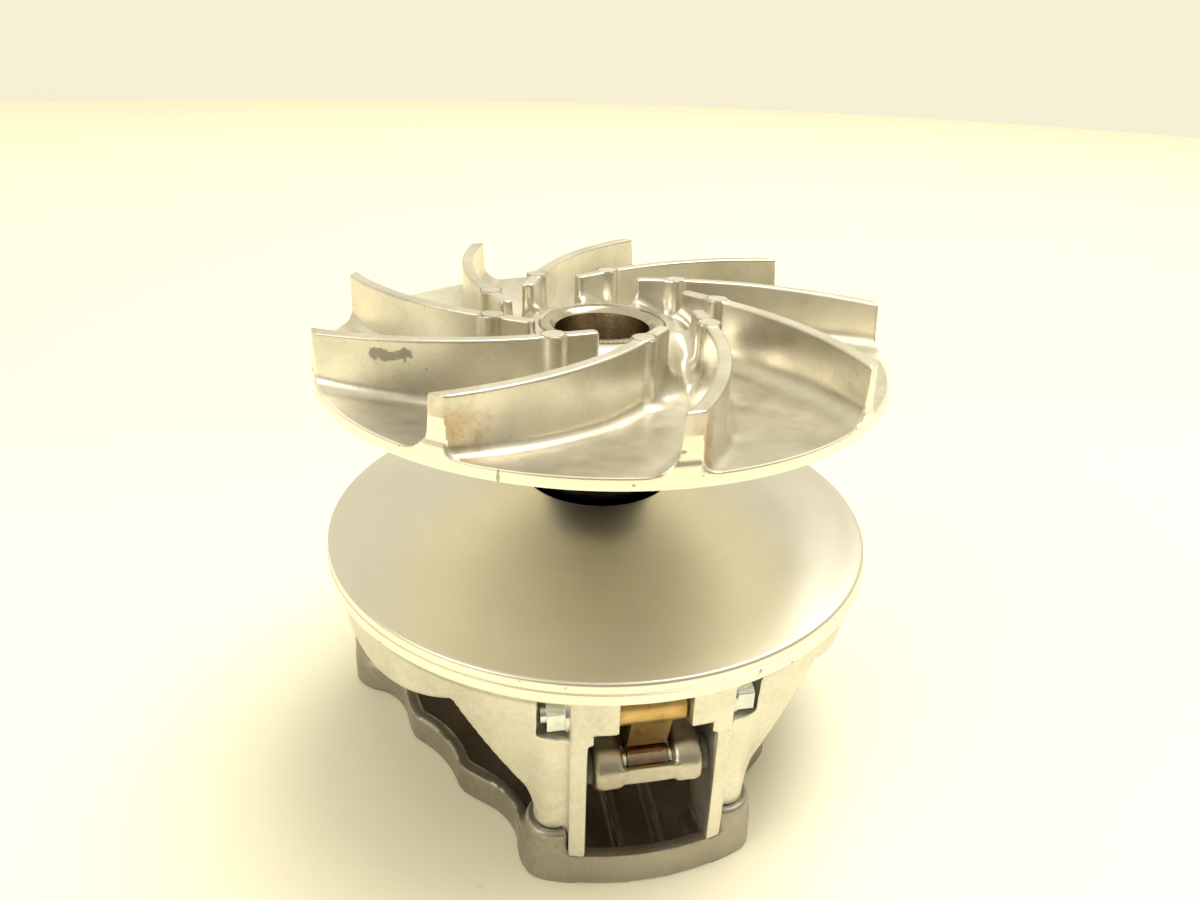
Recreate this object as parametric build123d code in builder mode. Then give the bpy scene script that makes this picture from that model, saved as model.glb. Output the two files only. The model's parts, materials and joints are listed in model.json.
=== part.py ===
"""Primary (drive) clutch of a belt CVT, standing on its cover.

Frame: +Z runs along the shaft from the cover to the engine side, the origin is
on the shaft axis in the plane of the cover's resting face, and the first of the
three flyweight windows faces -Y.  All lengths are in millimetres.
"""

from build123d import *
from math import cos, radians, sin, tan
import os

os.makedirs("parts", exist_ok=True)

# ---------------------------------------------------------------- driving sizes
SHEAVE_ANGLE = 13.0          # slope of both belt faces
SHIFT = 25.0                 # axial travel of the movable sheave
WINDOW_AZIMUTHS = {"front": -90.0, "right": 30.0, "left": 150.0}
MID_AZIMUTHS = [azimuth + 60.0 for azimuth in WINDOW_AZIMUTHS.values()]
SIDES = (-1, 1)
EDGE = 0.5                   # small chamfers and steps
CLEAR = 20.0                 # how far cutting shapes run past what they cut

# movable sheave
MOVABLE_R = 101.6            # turned rim
MOVABLE_STEP_R = 101.2       # rim above the fine step
MOVABLE_FACE_R = 100.0       # outer edge of the belt face
MOVABLE_FACE_Z = 85.3
MOVABLE_RIM_LOW_Z = 77.7
MOVABLE_STEP_Z = 81.5
MOVABLE_BORE_R = 26.8        # clears the one-way bearing
PLATE_UNDER_R = 92.0
PLATE_UNDER_Z = 78.6
PLATE_CORNER = 1.4           # rounded corner between the rim and the belt face
PLATE_ROOT = ((33.0, 82.0), (37.0, 87.0), (44.0, 88.2))   # from the hub out to the plate
HUB_R = 33.0
HUB_LOW_Z = 57.5
BUSHING_SEAT_R = 23.0
BUSHING_TOP_Z = 72.0

# cast skirt and towers of the movable sheave
SKIRT_TOP_R = 99.8
SKIRT_LOW_R = 92.2
SKIRT_WALL = 5.5
PAD_R = 100.5                # turned outer faces of the towers
PAD_LOW_Z = 12.6
WINDOW_HALF = 20.0
PAD_WALL = 5.5
PAD_INNER_RHO = 66.0
PAD_INNER_TOP_Z = 84.0
PAD_INNER_LOW_Z = 60.0       # below this the wall's inner edge leans out
PAD_INNER_LEAN = 14.0
COLUMN_R = 7.0
COLUMN_POLAR_R = 91.0
COLUMN_ANGLE = 18.3          # either side of the window's centre
COLUMN_LOW_Z = 21.6
HOLE_TOP_Z = 48.0            # blind end of the cover-bolt holes in the columns
EAR_INNER_HALF = 11.2
EAR_FRONT_Z = 66.0
EAR_BOSS_R = 6.9
RECESS_R = 8.8
RECESS_END = 37.0
BOLT_FACE = WINDOW_HALF + PAD_WALL

# belly of the skirt and its sloping webs, seen square on between two towers
BELLY_Z = 57.0
BELLY_SHOULDER = (33.0, 64.2)
WEB_TOP = (38.0, 65.0)
WEB_LOW = (62.8, 21.7)
WEB_END = 76.0

# flyweight pivot and spider roller, in the plane of a window: (radius, height)
PIVOT_RHO, PIVOT_Z = 90.0, 68.3
ROLLER_RHO, ROLLER_Z = 89.5, 43.5
ROLLER_R = 6.2
ROLLER_HALF = 6.6
FLYWEIGHT_SWING = 30.0       # degrees over the whole shift
CAM_GAP = 0.12               # flyweight cam to roller
FLYWEIGHT_HUB_R = 6.5
FLYWEIGHT_HUB_HALF = 10.4
FLYWEIGHT_LEG_HALF = 6.4
PIVOT_BOLT_R = 3.15
PIN_R = 3.0

# spider
SPIDER_LOW_Z, SPIDER_TOP_Z = 43.0, 57.0
SPIDER_HUB_R = 25.0
SPIDER_FLANGE_R = 46.0
SPIDER_SEAT_Z = 50.0         # spring seat under the flange
SPIDER_RIM_Z = 55.5          # top of the flange at its edge
ARM_ROOT_RHO = 34.0
ARM_BEND_RHO = 54.0
EAR_BACK = 10.0              # how far the ear's low edge runs in from the roller
EAR_CHIN = 1.8
EAR_FLAT = ((92.5, 35.9), (96.6, 39.4))   # flat that clears the cover's wall at full shift
NUT_LOW_Z = 38.5
NUT_R = 24.0
NUT_SLOT = 5.0
EAR_IN, EAR_OUT = 8.1, 17.5  # either side of the arm's centre plane
EAR_NOSE_R = 8.2
BAR_BACK_RHO = 95.95
BAR_LOW_Z, BAR_TOP_Z = 41.0, 47.3
BUTTON_R = 5.5
BUTTON_OUT = 19.85
PIN_HALF = 14.0
EAR_LOW_Z = 39.5
HEX_R = 6.0
HEX_HIGH = 6.8
FLYWEIGHT_BORE_R = 4.6
FLYWEIGHT_LEG = 9.0
ROLLER_BORE_R = 4.3
WASHER_R = 5.4
WASHER_HALF = 0.6
HEX_FLANGE_R = 6.4
HEX_FLANGE_H = 1.4
BOLT_PAST_FACE = 8.5         # bolt end past the tower's face, on the nut's side
SNAP_RING_Z = 97.3
SNAP_RING_H = 1.0
SNAP_GROOVE = 1.4
SNAP_GAP = (8.0, 3.0)

# post
POST_TOP_Z = 160.4
POST_LOW_Z = 3.0
POST_HEAD_R = 22.3
POST_HEAD_LOW_Z = 130.2
JOURNAL_R = 20.0
SPIDER_BORE_R = 18.0
TAIL_R = 15.0
TAPER_CHAMFER = 1.7
TAPER_MOUTH_R = 16.7
TAPER_SMALL_R = 11.8
TAPER_DEPTH_Z = 101.0
BOLT_BORE_R = 7.4
PULLER_R = 9.0
PULLER_DEPTH = 18.0

# fixed sheave
FIXED_R = 99.1
FIXED_TOP_R = 98.9
FIXED_FACE_Z = 147.2
FIXED_BAND_Z = 151.0
FIXED_HUB_FACE_R = 26.0
FIXED_FLOOR = ((60.0, 146.6), (43.0, 146.6), (35.0, 150.5), (29.0, 157.5), (25.0, 159.6))
FIXED_HUB_TOP_Z = 160.0
FIN_START_Z = 141.2          # inside the plate
FIN_START = (103.3, -2.4)    # on the fin's centre line, past its turned tip
FIN_COUNT = 9
FIN_FIRST_AZIMUTH = -167.55
FIN_TOP_Z = 168.6
FIN_TIP_R = 98.3
FIN_WIDTH = 4.6
FIN_BOSS_R = 4.1
FIN_BOSS = (41.0, 44.5)      # polar place of the round boss, from the fin's tip
FIN_INNER = (33.0, 64.0)
FIN_MIDDLE = (66.0, 19.2)

# cover
COVER_R = 100.7
COVER_DISC_R = 79.0
COVER_LOBE_HALF = 40.5
COVER_TOP_Z = 12.4
COVER_FLOOR = 3.5
COVER_WALL = 4.6
COVER_BOSS_R = 9.5
COVER_BOSS_TOP_Z = 21.4
COVER_OUTER_FILLET = 11.0
COVER_INNER_FILLET = 9.0
COVER_HUB_R = 21.5
COVER_BORE_R = 17.5
BOLT_R = 3.0
BOLT_HOLE_R = 3.3
BOLT_HEAD_R = 5.0
BOLT_HEAD_H = 5.0
BOLT_RECESS = 6.5
BOLT_SOCKET_R = 2.9
BOLT_SOCKET_DEPTH = 2.8
COVER_VALLEY_R = 74.5        # narrowest radius, midway between two lobes
COVER_VALLEY_RHO = 120.0
COVER_RIB = 2.4
COVER_RIB_SHIFTS = (-7.0, 7.0)
COVER_RIB_IN_RHO = 36.0
COVER_RIB_TOP_Z = 9.0

# one-way bearing
BEARING_OUT_R = 25.0
BEARING_IN_R = 23.1
BEARING_LOW_Z, BEARING_TOP_Z = 99.7, 128.8
NEEDLE_R = 1.45
NEEDLE_COUNT = 24

# spring
SPRING_WIRE_R = 2.3
SPRING_R = 28.0
SPRING_TURNS = 4.3
SPRING_GROUND = 1.2          # ground off the wire at each end

RUN = 0.04                   # radial running clearance
SLOPE = tan(radians(SHEAVE_ANGLE))


# ---------------------------------------------------------------- shared helpers
def side_plane(azimuth, shift=0.0):
    """Plane through the axis and a window: local x is the radius, local y is up."""
    a = radians(azimuth)
    across = Vector(sin(a), -cos(a), 0)
    return Plane(origin=across * shift, x_dir=(cos(a), sin(a), 0), z_dir=across)


def square_on_plane(azimuth, radius):
    """Plane square to a radius: local x runs anticlockwise, local y is up."""
    a = radians(azimuth)
    outward = Vector(cos(a), sin(a), 0)
    return Plane(origin=outward * radius, x_dir=(-sin(a), cos(a), 0), z_dir=outward)


def polar(radius, azimuth, z=0.0):
    a = radians(azimuth)
    return Vector(radius * cos(a), radius * sin(a), z)


def column_places():
    """Centres of the six cover-bolt columns, as azimuths."""
    return [azimuth + side * COLUMN_ANGLE for azimuth in WINDOW_AZIMUTHS.values() for side in SIDES]


def ring(outer, inner, low, high):
    """A plain ring between two heights."""
    with BuildPart() as piece:
        with BuildSketch(Plane.XY.offset(low)):
            Circle(outer)
            Circle(inner, mode=Mode.SUBTRACT)
        extrude(amount=high - low)
    return piece.part


def cross_cylinder(azimuth, rho, z, outer, inner, start, end):
    """A round piece lying across a window's plane, between two distances from it."""
    with BuildPart() as piece:
        with BuildSketch(side_plane(azimuth, start)):
            with Locations((rho, z)):
                Circle(outer)
                if inner > 0:
                    Circle(inner, mode=Mode.SUBTRACT)
        extrude(amount=end - start)
    return piece.part


def save(part, name):
    part.label = name
    export_step(part, f"parts/{name}.step")


def movable_face_z(radius):
    return MOVABLE_FACE_Z + (MOVABLE_FACE_R - radius) * SLOPE


def fixed_face_z(radius):
    return FIXED_FACE_Z - (FIXED_R - radius) * SLOPE


# ---------------------------------------------------------------- post
with BuildPart() as post:
    with BuildSketch(Plane.XZ):
        with BuildLine():
            Polyline(
                (PULLER_R + 1.0, POST_LOW_Z),
                (TAIL_R - 1.0, POST_LOW_Z),
                (TAIL_R, POST_LOW_Z + 1.0),
                (TAIL_R, NUT_LOW_Z),
                (SPIDER_BORE_R, NUT_LOW_Z),
                (SPIDER_BORE_R, SPIDER_TOP_Z),
                (JOURNAL_R, SPIDER_TOP_Z),
                (JOURNAL_R, SNAP_RING_Z - 0.1),
                (JOURNAL_R - SNAP_GROOVE, SNAP_RING_Z - 0.1),
                (JOURNAL_R - SNAP_GROOVE, SNAP_RING_Z + SNAP_RING_H + 0.1),
                (JOURNAL_R, SNAP_RING_Z + SNAP_RING_H + 0.1),
                (JOURNAL_R, POST_HEAD_LOW_Z),
                (POST_HEAD_R, POST_HEAD_LOW_Z),
                (POST_HEAD_R, POST_TOP_Z),
                (TAPER_MOUTH_R + TAPER_CHAMFER, POST_TOP_Z),
                (TAPER_MOUTH_R, POST_TOP_Z - TAPER_CHAMFER),
                (TAPER_SMALL_R, TAPER_DEPTH_Z),
                (BOLT_BORE_R, TAPER_DEPTH_Z),
                (BOLT_BORE_R, POST_LOW_Z + PULLER_DEPTH),
                (PULLER_R, POST_LOW_Z + PULLER_DEPTH),
                (PULLER_R, POST_LOW_Z + 1.0),
                close=True,
            )
        make_face()
    revolve(axis=Axis.Z)

# ---------------------------------------------------------------- fixed sheave
with BuildPart() as fixed_sheave:
    with BuildSketch(Plane.XZ):
        with BuildLine():
            Polyline(
                (POST_HEAD_R, POST_HEAD_LOW_Z),
                (FIXED_HUB_FACE_R, POST_HEAD_LOW_Z),
                (FIXED_HUB_FACE_R, fixed_face_z(FIXED_HUB_FACE_R)),
                (FIXED_R, FIXED_FACE_Z),
                (FIXED_TOP_R, FIXED_BAND_Z),
                *FIXED_FLOOR,
                (POST_HEAD_R, FIXED_HUB_TOP_Z),
                close=True,
            )
        make_face()
    revolve(axis=Axis.Z)
    for number in range(FIN_COUNT):
        tip = FIN_FIRST_AZIMUTH + number * 360.0 / FIN_COUNT
        start, middle, boss, end = [
            polar(radius, tip + turn) for radius, turn in (FIN_START, FIN_MIDDLE, FIN_BOSS, FIN_INNER)
        ]
        with BuildSketch(Plane.XY.offset(FIN_START_Z)):
            with BuildLine():
                ThreePointArc(start, middle, boss)
                Line(boss, end)
            trace(line_width=FIN_WIDTH)
            with Locations(boss):
                Circle(FIN_BOSS_R)
        extrude(amount=FIN_TOP_Z - FIN_START_Z)
    # turned outside of the fins, and the belt face cleared below
    with BuildSketch(Plane.XY.offset(FIXED_BAND_Z)):
        Circle(FIN_TIP_R + CLEAR)
        Circle(FIN_TIP_R, mode=Mode.SUBTRACT)
    extrude(amount=FIN_TOP_Z, mode=Mode.SUBTRACT)
    with BuildSketch(Plane.XZ):
        with BuildLine():
            Polyline(
                (0.0, fixed_face_z(0.0)),
                (FIXED_R, FIXED_FACE_Z),
                (FIXED_TOP_R, FIXED_BAND_Z),
                (FIXED_R + CLEAR, FIXED_BAND_Z),
                (FIXED_R + CLEAR, BEARING_LOW_Z),
                (0.0, BEARING_LOW_Z),
                close=True,
            )
        make_face()
    revolve(axis=Axis.Z, mode=Mode.SUBTRACT)


# ---------------------------------------------------------------- movable sheave
with BuildPart() as movable_sheave:
    # turned plate with its belt face, hub and bushing seat
    with BuildSketch(Plane.XZ):
        with BuildLine():
            Polyline(
                (MOVABLE_BORE_R + 1.0, movable_face_z(MOVABLE_BORE_R + 1.0)),
                (MOVABLE_BORE_R, movable_face_z(MOVABLE_BORE_R) - 1.0),
                (MOVABLE_BORE_R, BUSHING_TOP_Z + 0.4),
                (BUSHING_SEAT_R, BUSHING_TOP_Z + 0.4),
                (BUSHING_SEAT_R, HUB_LOW_Z),
                (HUB_R, HUB_LOW_Z),
                *PLATE_ROOT,
                (PLATE_UNDER_R, PLATE_UNDER_Z),
                (PLATE_UNDER_R, MOVABLE_RIM_LOW_Z),
                (MOVABLE_R, MOVABLE_RIM_LOW_Z),
                (MOVABLE_R, MOVABLE_STEP_Z),
                (MOVABLE_STEP_R, MOVABLE_STEP_Z),
                (MOVABLE_STEP_R, MOVABLE_FACE_Z - PLATE_CORNER),
            )
            ThreePointArc(
                (MOVABLE_STEP_R, MOVABLE_FACE_Z - PLATE_CORNER),
                (MOVABLE_STEP_R - 0.35, MOVABLE_FACE_Z - 0.42),
                (MOVABLE_FACE_R, MOVABLE_FACE_Z),
            )
            Line(
                (MOVABLE_FACE_R, MOVABLE_FACE_Z),
                (MOVABLE_BORE_R + 1.0, movable_face_z(MOVABLE_BORE_R + 1.0)),
            )
        make_face()
    revolve(axis=Axis.Z)

    # drafted skirt, cut away between the towers to a belly and two sloping webs
    with BuildSketch(Plane.XZ):
        with BuildLine():
            Polyline(
                (SKIRT_TOP_R, MOVABLE_RIM_LOW_Z + 1.0),
                (SKIRT_LOW_R, PAD_LOW_Z),
                (SKIRT_LOW_R - SKIRT_WALL, PAD_LOW_Z),
                (SKIRT_TOP_R - SKIRT_WALL, MOVABLE_RIM_LOW_Z + 1.0),
                close=True,
            )
        make_face()
    revolve(axis=Axis.Z)
    for azimuth in MID_AZIMUTHS:
        with BuildSketch(square_on_plane(azimuth, HUB_R + CLEAR)):
            with BuildLine():
                ThreePointArc(
                    (-BELLY_SHOULDER[0], BELLY_SHOULDER[1]),
                    (0.0, BELLY_Z),
                    BELLY_SHOULDER,
                )
                Polyline(
                    BELLY_SHOULDER,
                    WEB_TOP,
                    WEB_LOW,
                    (WEB_END, WEB_LOW[1]),
                    (WEB_END, 0.0),
                    (-WEB_END, 0.0),
                    (-WEB_END, WEB_LOW[1]),
                    (-WEB_LOW[0], WEB_LOW[1]),
                    (-WEB_TOP[0], WEB_TOP[1]),
                    (-BELLY_SHOULDER[0], BELLY_SHOULDER[1]),
                )
            make_face()
        extrude(amount=MOVABLE_R, mode=Mode.SUBTRACT)

    # towers: a flat wall each side of the window and a round cover-bolt column
    for azimuth in WINDOW_AZIMUTHS.values():
        for side in SIDES:
            shift = side * (WINDOW_HALF + PAD_WALL / 2)
            with BuildSketch(side_plane(azimuth, shift)):
                with BuildLine():
                    Polyline(
                        (PAD_INNER_RHO, PAD_INNER_TOP_Z),
                        (PAD_INNER_RHO, PAD_INNER_LOW_Z),
                        (PAD_INNER_RHO + PAD_INNER_LEAN, PAD_LOW_Z),
                        (PAD_R + 1.5, PAD_LOW_Z),
                        (PAD_R + 1.5, MOVABLE_RIM_LOW_Z + 1.0),
                        close=True,
                    )
                make_face()
            extrude(amount=PAD_WALL / 2, both=True)
    with BuildSketch(Plane.XY.offset(COLUMN_LOW_Z)):
        for azimuth in column_places():
            with Locations(polar(COLUMN_POLAR_R, azimuth)):
                Circle(COLUMN_R)
    extrude(amount=MOVABLE_RIM_LOW_Z + 1.0 - COLUMN_LOW_Z)

    # windows right through the towers, with the ears that carry the flyweight bolt
    for azimuth in WINDOW_AZIMUTHS.values():
        with BuildSketch(side_plane(azimuth)):
            with Locations((PAD_INNER_RHO, PAD_LOW_Z)):
                Rectangle(PAD_R, MOVABLE_RIM_LOW_Z - PAD_LOW_Z, align=(Align.MIN, Align.MIN))
        extrude(amount=WINDOW_HALF, both=True, mode=Mode.SUBTRACT)
        for side in SIDES:
            shift = side * (WINDOW_HALF + EAR_INNER_HALF) / 2
            with BuildSketch(side_plane(azimuth, shift)):
                with Locations((PIVOT_RHO, PIVOT_Z)):
                    Circle(EAR_BOSS_R)
                with BuildLine():
                    Polyline(
                        (PIVOT_RHO - EAR_BOSS_R, PIVOT_Z),
                        (PIVOT_RHO - EAR_BOSS_R, 80.0),
                        (PAD_R + 1.5, 80.0),
                        (PAD_R + 1.5, EAR_FRONT_Z),
                        (PIVOT_RHO + 3.0, PIVOT_Z - EAR_BOSS_R + 0.4),
                        (PIVOT_RHO, PIVOT_Z - EAR_BOSS_R),
                        close=True,
                    )
                make_face()
            extrude(amount=(WINDOW_HALF - EAR_INNER_HALF) / 2 + 0.01, both=True)

    # bolt recesses outside the walls, the bolt's holes and the columns' threads
    for azimuth in WINDOW_AZIMUTHS.values():
        for side in SIDES:
            start = side * (WINDOW_HALF + PAD_WALL + RECESS_END) / 2
            with BuildSketch(side_plane(azimuth, start)):
                with Locations((PIVOT_RHO, PIVOT_Z)):
                    Circle(RECESS_R)
                with Locations((PIVOT_RHO + RECESS_R, PIVOT_Z)):
                    Rectangle(2 * RECESS_R, 2 * RECESS_R)
            extrude(amount=(RECESS_END - WINDOW_HALF - PAD_WALL) / 2, both=True, mode=Mode.SUBTRACT)
        with BuildSketch(side_plane(azimuth)):
            with Locations((PIVOT_RHO, PIVOT_Z)):
                Circle(PIVOT_BOLT_R)
        extrude(amount=RECESS_END, both=True, mode=Mode.SUBTRACT)
    with BuildSketch(Plane.XY.offset(COLUMN_LOW_Z)):
        for azimuth in column_places():
            with Locations(polar(COLUMN_POLAR_R, azimuth)):
                Circle(BOLT_R)
    extrude(amount=HOLE_TOP_Z - COLUMN_LOW_Z, mode=Mode.SUBTRACT)

    # turned outside of the pads and ears, and of the rim above them
    add(ring(PAD_R + CLEAR, PAD_R, 0.0, MOVABLE_RIM_LOW_Z), mode=Mode.SUBTRACT)
    add(ring(PAD_R + CLEAR, MOVABLE_R, MOVABLE_RIM_LOW_Z, MOVABLE_STEP_Z), mode=Mode.SUBTRACT)

# ---------------------------------------------------------------- cover
def cover_outline(inset):
    """Three-lobed outline: a disc, a lobe under each tower and a valley between."""
    with BuildSketch() as outline:
        Circle(COVER_DISC_R - inset)
        for azimuth in WINDOW_AZIMUTHS.values():
            with Locations(Location((0, 0, 0), (0, 0, azimuth))):
                Rectangle(COVER_R + CLEAR, 2 * (COVER_LOBE_HALF - inset), align=(Align.MIN, Align.CENTER))
        Circle(COVER_R - inset, mode=Mode.INTERSECT)
        outer = [v for v in outline.vertices() if Vector(v.X, v.Y, 0).length > COVER_R - inset - 1.0]
        fillet(outer, radius=COVER_OUTER_FILLET - inset)
        inner = [v for v in outline.vertices() if Vector(v.X, v.Y, 0).length < COVER_DISC_R - inset + 1.0]
        fillet(inner, radius=COVER_INNER_FILLET + inset)
        for azimuth in MID_AZIMUTHS:
            with Locations(polar(COVER_VALLEY_RHO, azimuth)):
                Circle(COVER_VALLEY_RHO - COVER_VALLEY_R + inset, mode=Mode.SUBTRACT)
    return outline.sketch


with BuildPart() as cover:
    with BuildSketch():
        add(cover_outline(0.0))
    extrude(amount=COVER_TOP_Z)
    with BuildSketch(Plane.XY.offset(COVER_FLOOR)):
        add(cover_outline(COVER_WALL))
    extrude(amount=COVER_TOP_Z, mode=Mode.SUBTRACT)
    # bosses under the columns, trimmed to the turned outside
    with BuildSketch(Plane.XY.offset(1.0)):
        for azimuth in column_places():
            with Locations(polar(COLUMN_POLAR_R, azimuth)):
                Circle(COVER_BOSS_R)
        Circle(COVER_R, mode=Mode.INTERSECT)
    extrude(amount=COVER_BOSS_TOP_Z - 1.0)
    # the window's wall and the pad's foot stand clear of the bosses
    for azimuth in WINDOW_AZIMUTHS.values():
        with BuildSketch(side_plane(azimuth)):
            with Locations((COVER_R, COVER_TOP_Z)):
                Rectangle(COVER_LOBE_HALF + CLEAR, CLEAR, align=(Align.CENTER, Align.MIN))
        extrude(amount=BOLT_FACE + 0.2, both=True, mode=Mode.SUBTRACT)
    # floor ribs and the hub round the bushing
    for azimuth in WINDOW_AZIMUTHS.values():
        for shift in COVER_RIB_SHIFTS:
            with BuildSketch(side_plane(azimuth, shift)):
                with BuildLine():
                    Polyline(
                        (COVER_RIB_IN_RHO, 1.0),
                        (COVER_R - 2.0, 1.0),
                        (COVER_R - 2.0, COVER_RIB_TOP_Z),
                        (COVER_R - 22.0, COVER_RIB_TOP_Z - 1.0),
                        (COVER_RIB_IN_RHO, COVER_FLOOR + 0.5),
                        close=True,
                    )
                make_face()
            extrude(amount=COVER_RIB / 2, both=True)
    add(ring(COVER_HUB_R, COVER_BORE_R, 0.0, COVER_TOP_Z))
    with BuildSketch():
        Circle(COVER_BORE_R)
    extrude(amount=COVER_TOP_Z, mode=Mode.SUBTRACT)
    # cover bolts come up from below, their heads sunk in the resting face
    with BuildSketch():
        for azimuth in column_places():
            with Locations(polar(COLUMN_POLAR_R, azimuth)):
                Circle(BOLT_HOLE_R)
    extrude(amount=COVER_BOSS_TOP_Z, mode=Mode.SUBTRACT)
    with BuildSketch():
        for azimuth in column_places():
            with Locations(polar(COLUMN_POLAR_R, azimuth)):
                Circle(BOLT_HEAD_R + 0.6)
    extrude(amount=BOLT_RECESS, mode=Mode.SUBTRACT)
    circles = cover.edges().filter_by(GeomType.CIRCLE)
    chamfer(circles.filter_by(lambda edge: abs(edge.radius - COVER_BORE_R) < 0.01), EDGE)

with BuildPart() as cover_bushing:
    add(ring(COVER_BORE_R, TAIL_R + RUN, 1.0, COVER_TOP_Z - 0.9))

# ---------------------------------------------------------------- cover bolts
with BuildPart() as cover_bolts:
    for azimuth in column_places():
        centre = polar(COLUMN_POLAR_R, azimuth)
        with BuildSketch(Plane.XY.offset(BOLT_RECESS - BOLT_HEAD_H)):
            with Locations(centre):
                Circle(BOLT_HEAD_R)
                RegularPolygon(BOLT_SOCKET_R, 6, mode=Mode.SUBTRACT)
        extrude(amount=BOLT_SOCKET_DEPTH)
        with BuildSketch(Plane.XY.offset(BOLT_RECESS - BOLT_HEAD_H + BOLT_SOCKET_DEPTH)):
            with Locations(centre):
                Circle(BOLT_HEAD_R)
        extrude(amount=BOLT_HEAD_H - BOLT_SOCKET_DEPTH)
        with BuildSketch(Plane.XY.offset(BOLT_RECESS)):
            with Locations(centre):
                Circle(BOLT_R)
        extrude(amount=HOLE_TOP_Z - 3.0 - BOLT_RECESS)

# ---------------------------------------------------------------- sheave bushing
with BuildPart() as sheave_bushing:
    add(ring(BUSHING_SEAT_R, JOURNAL_R + RUN, HUB_LOW_Z + 0.4, BUSHING_TOP_Z))

# ---------------------------------------------------------------- spider
with BuildPart() as spider:
    with BuildSketch(Plane.XZ):
        with BuildLine():
            Polyline(
                (SPIDER_BORE_R, SPIDER_LOW_Z),
                (SPIDER_HUB_R, SPIDER_LOW_Z),
                (SPIDER_HUB_R, SPIDER_SEAT_Z),
                (SPIDER_FLANGE_R, SPIDER_SEAT_Z),
                (SPIDER_FLANGE_R, SPIDER_RIM_Z),
                (HUB_R + 1.0, SPIDER_TOP_Z),
                (SPIDER_BORE_R, SPIDER_TOP_Z),
                close=True,
            )
        make_face()
    revolve(axis=Axis.Z)
    for azimuth in WINDOW_AZIMUTHS.values():
        for side in SIDES:
            with BuildSketch(side_plane(azimuth, side * (EAR_IN + EAR_OUT) / 2)):
                with Locations((ROLLER_RHO, ROLLER_Z)):
                    Circle(EAR_NOSE_R)
                with BuildLine():
                    Polyline(
                        (ARM_ROOT_RHO, SPIDER_TOP_Z - 0.5),
                        (ARM_BEND_RHO, SPIDER_TOP_Z - 1.0),
                        (ROLLER_RHO - 1.0, ROLLER_Z + EAR_NOSE_R - 0.06),
                        (ROLLER_RHO, ROLLER_Z),
                        (ROLLER_RHO + EAR_NOSE_R, ROLLER_Z),
                        (ROLLER_RHO + EAR_NOSE_R, BAR_LOW_Z),
                        (ROLLER_RHO + EAR_NOSE_R - EAR_CHIN, EAR_LOW_Z),
                        (ROLLER_RHO - EAR_BACK, EAR_LOW_Z),
                        (SPIDER_FLANGE_R, SPIDER_SEAT_Z - 4.0),
                        (ARM_ROOT_RHO, SPIDER_SEAT_Z),
                        close=True,
                    )
                make_face()
                with Locations((ROLLER_RHO, ROLLER_Z)):
                    Circle(PIN_R, mode=Mode.SUBTRACT)
                (low_rho, low_z), (high_rho, high_z) = EAR_FLAT
                with BuildLine():
                    Polyline(
                        (low_rho, low_z),
                        (high_rho, high_z),
                        (PAD_R, high_z),
                        (PAD_R, 0.0),
                        (low_rho, 0.0),
                        close=True,
                    )
                make_face(mode=Mode.SUBTRACT)
            extrude(amount=(EAR_OUT - EAR_IN) / 2, both=True)
        with BuildSketch(side_plane(azimuth)):
            with Locations(((BAR_BACK_RHO + ROLLER_RHO + EAR_NOSE_R) / 2, (BAR_LOW_Z + BAR_TOP_Z) / 2)):
                Rectangle(ROLLER_RHO + EAR_NOSE_R - BAR_BACK_RHO, BAR_TOP_Z - BAR_LOW_Z)
        extrude(amount=EAR_IN + 0.5, both=True)

with BuildPart() as spider_nut:
    add(ring(NUT_R, SPIDER_BORE_R, NUT_LOW_Z, SPIDER_LOW_Z))
    with BuildSketch(Plane.XY.offset(NUT_LOW_Z)):
        with PolarLocations(NUT_R, 6):
            Rectangle(NUT_SLOT, NUT_SLOT)
    extrude(amount=SPIDER_LOW_Z - NUT_LOW_Z, mode=Mode.SUBTRACT)

# ---------------------------------------------------------------- small cross pieces
with BuildPart() as roller_pins:
    for azimuth in WINDOW_AZIMUTHS.values():
        add(cross_cylinder(azimuth, ROLLER_RHO, ROLLER_Z, PIN_R, 0, -PIN_HALF, PIN_HALF))

with BuildPart() as roller_washers:
    for azimuth in WINDOW_AZIMUTHS.values():
        for side in SIDES:
            middle = side * (EAR_IN + ROLLER_HALF) / 2
            near, far = middle - WASHER_HALF, middle + WASHER_HALF
            add(cross_cylinder(azimuth, ROLLER_RHO, ROLLER_Z, WASHER_R, PIN_R, near, far))

with BuildPart() as spider_buttons:
    for azimuth in WINDOW_AZIMUTHS.values():
        for side in SIDES:
            near, far = sorted((side * EAR_OUT, side * BUTTON_OUT))
            add(cross_cylinder(azimuth, ROLLER_RHO, ROLLER_Z, BUTTON_R, 0, near, far))
            near, far = sorted((side * PIN_HALF, side * (EAR_OUT + 0.5)))
            add(cross_cylinder(azimuth, ROLLER_RHO, ROLLER_Z, PIN_R, 0, near, far))

with BuildPart() as flyweight_bolts:
    for azimuth in WINDOW_AZIMUTHS.values():
        end = BOLT_FACE + BOLT_PAST_FACE
        add(cross_cylinder(azimuth, PIVOT_RHO, PIVOT_Z, PIVOT_BOLT_R, 0, -BOLT_FACE, end))
        end = -BOLT_FACE - HEX_FLANGE_H
        add(cross_cylinder(azimuth, PIVOT_RHO, PIVOT_Z, HEX_FLANGE_R, 0, end, -BOLT_FACE))
        with BuildSketch(side_plane(azimuth, -BOLT_FACE)):
            with Locations((PIVOT_RHO, PIVOT_Z)):
                RegularPolygon(HEX_R, 6, rotation=90)
        extrude(amount=-HEX_HIGH)

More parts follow.
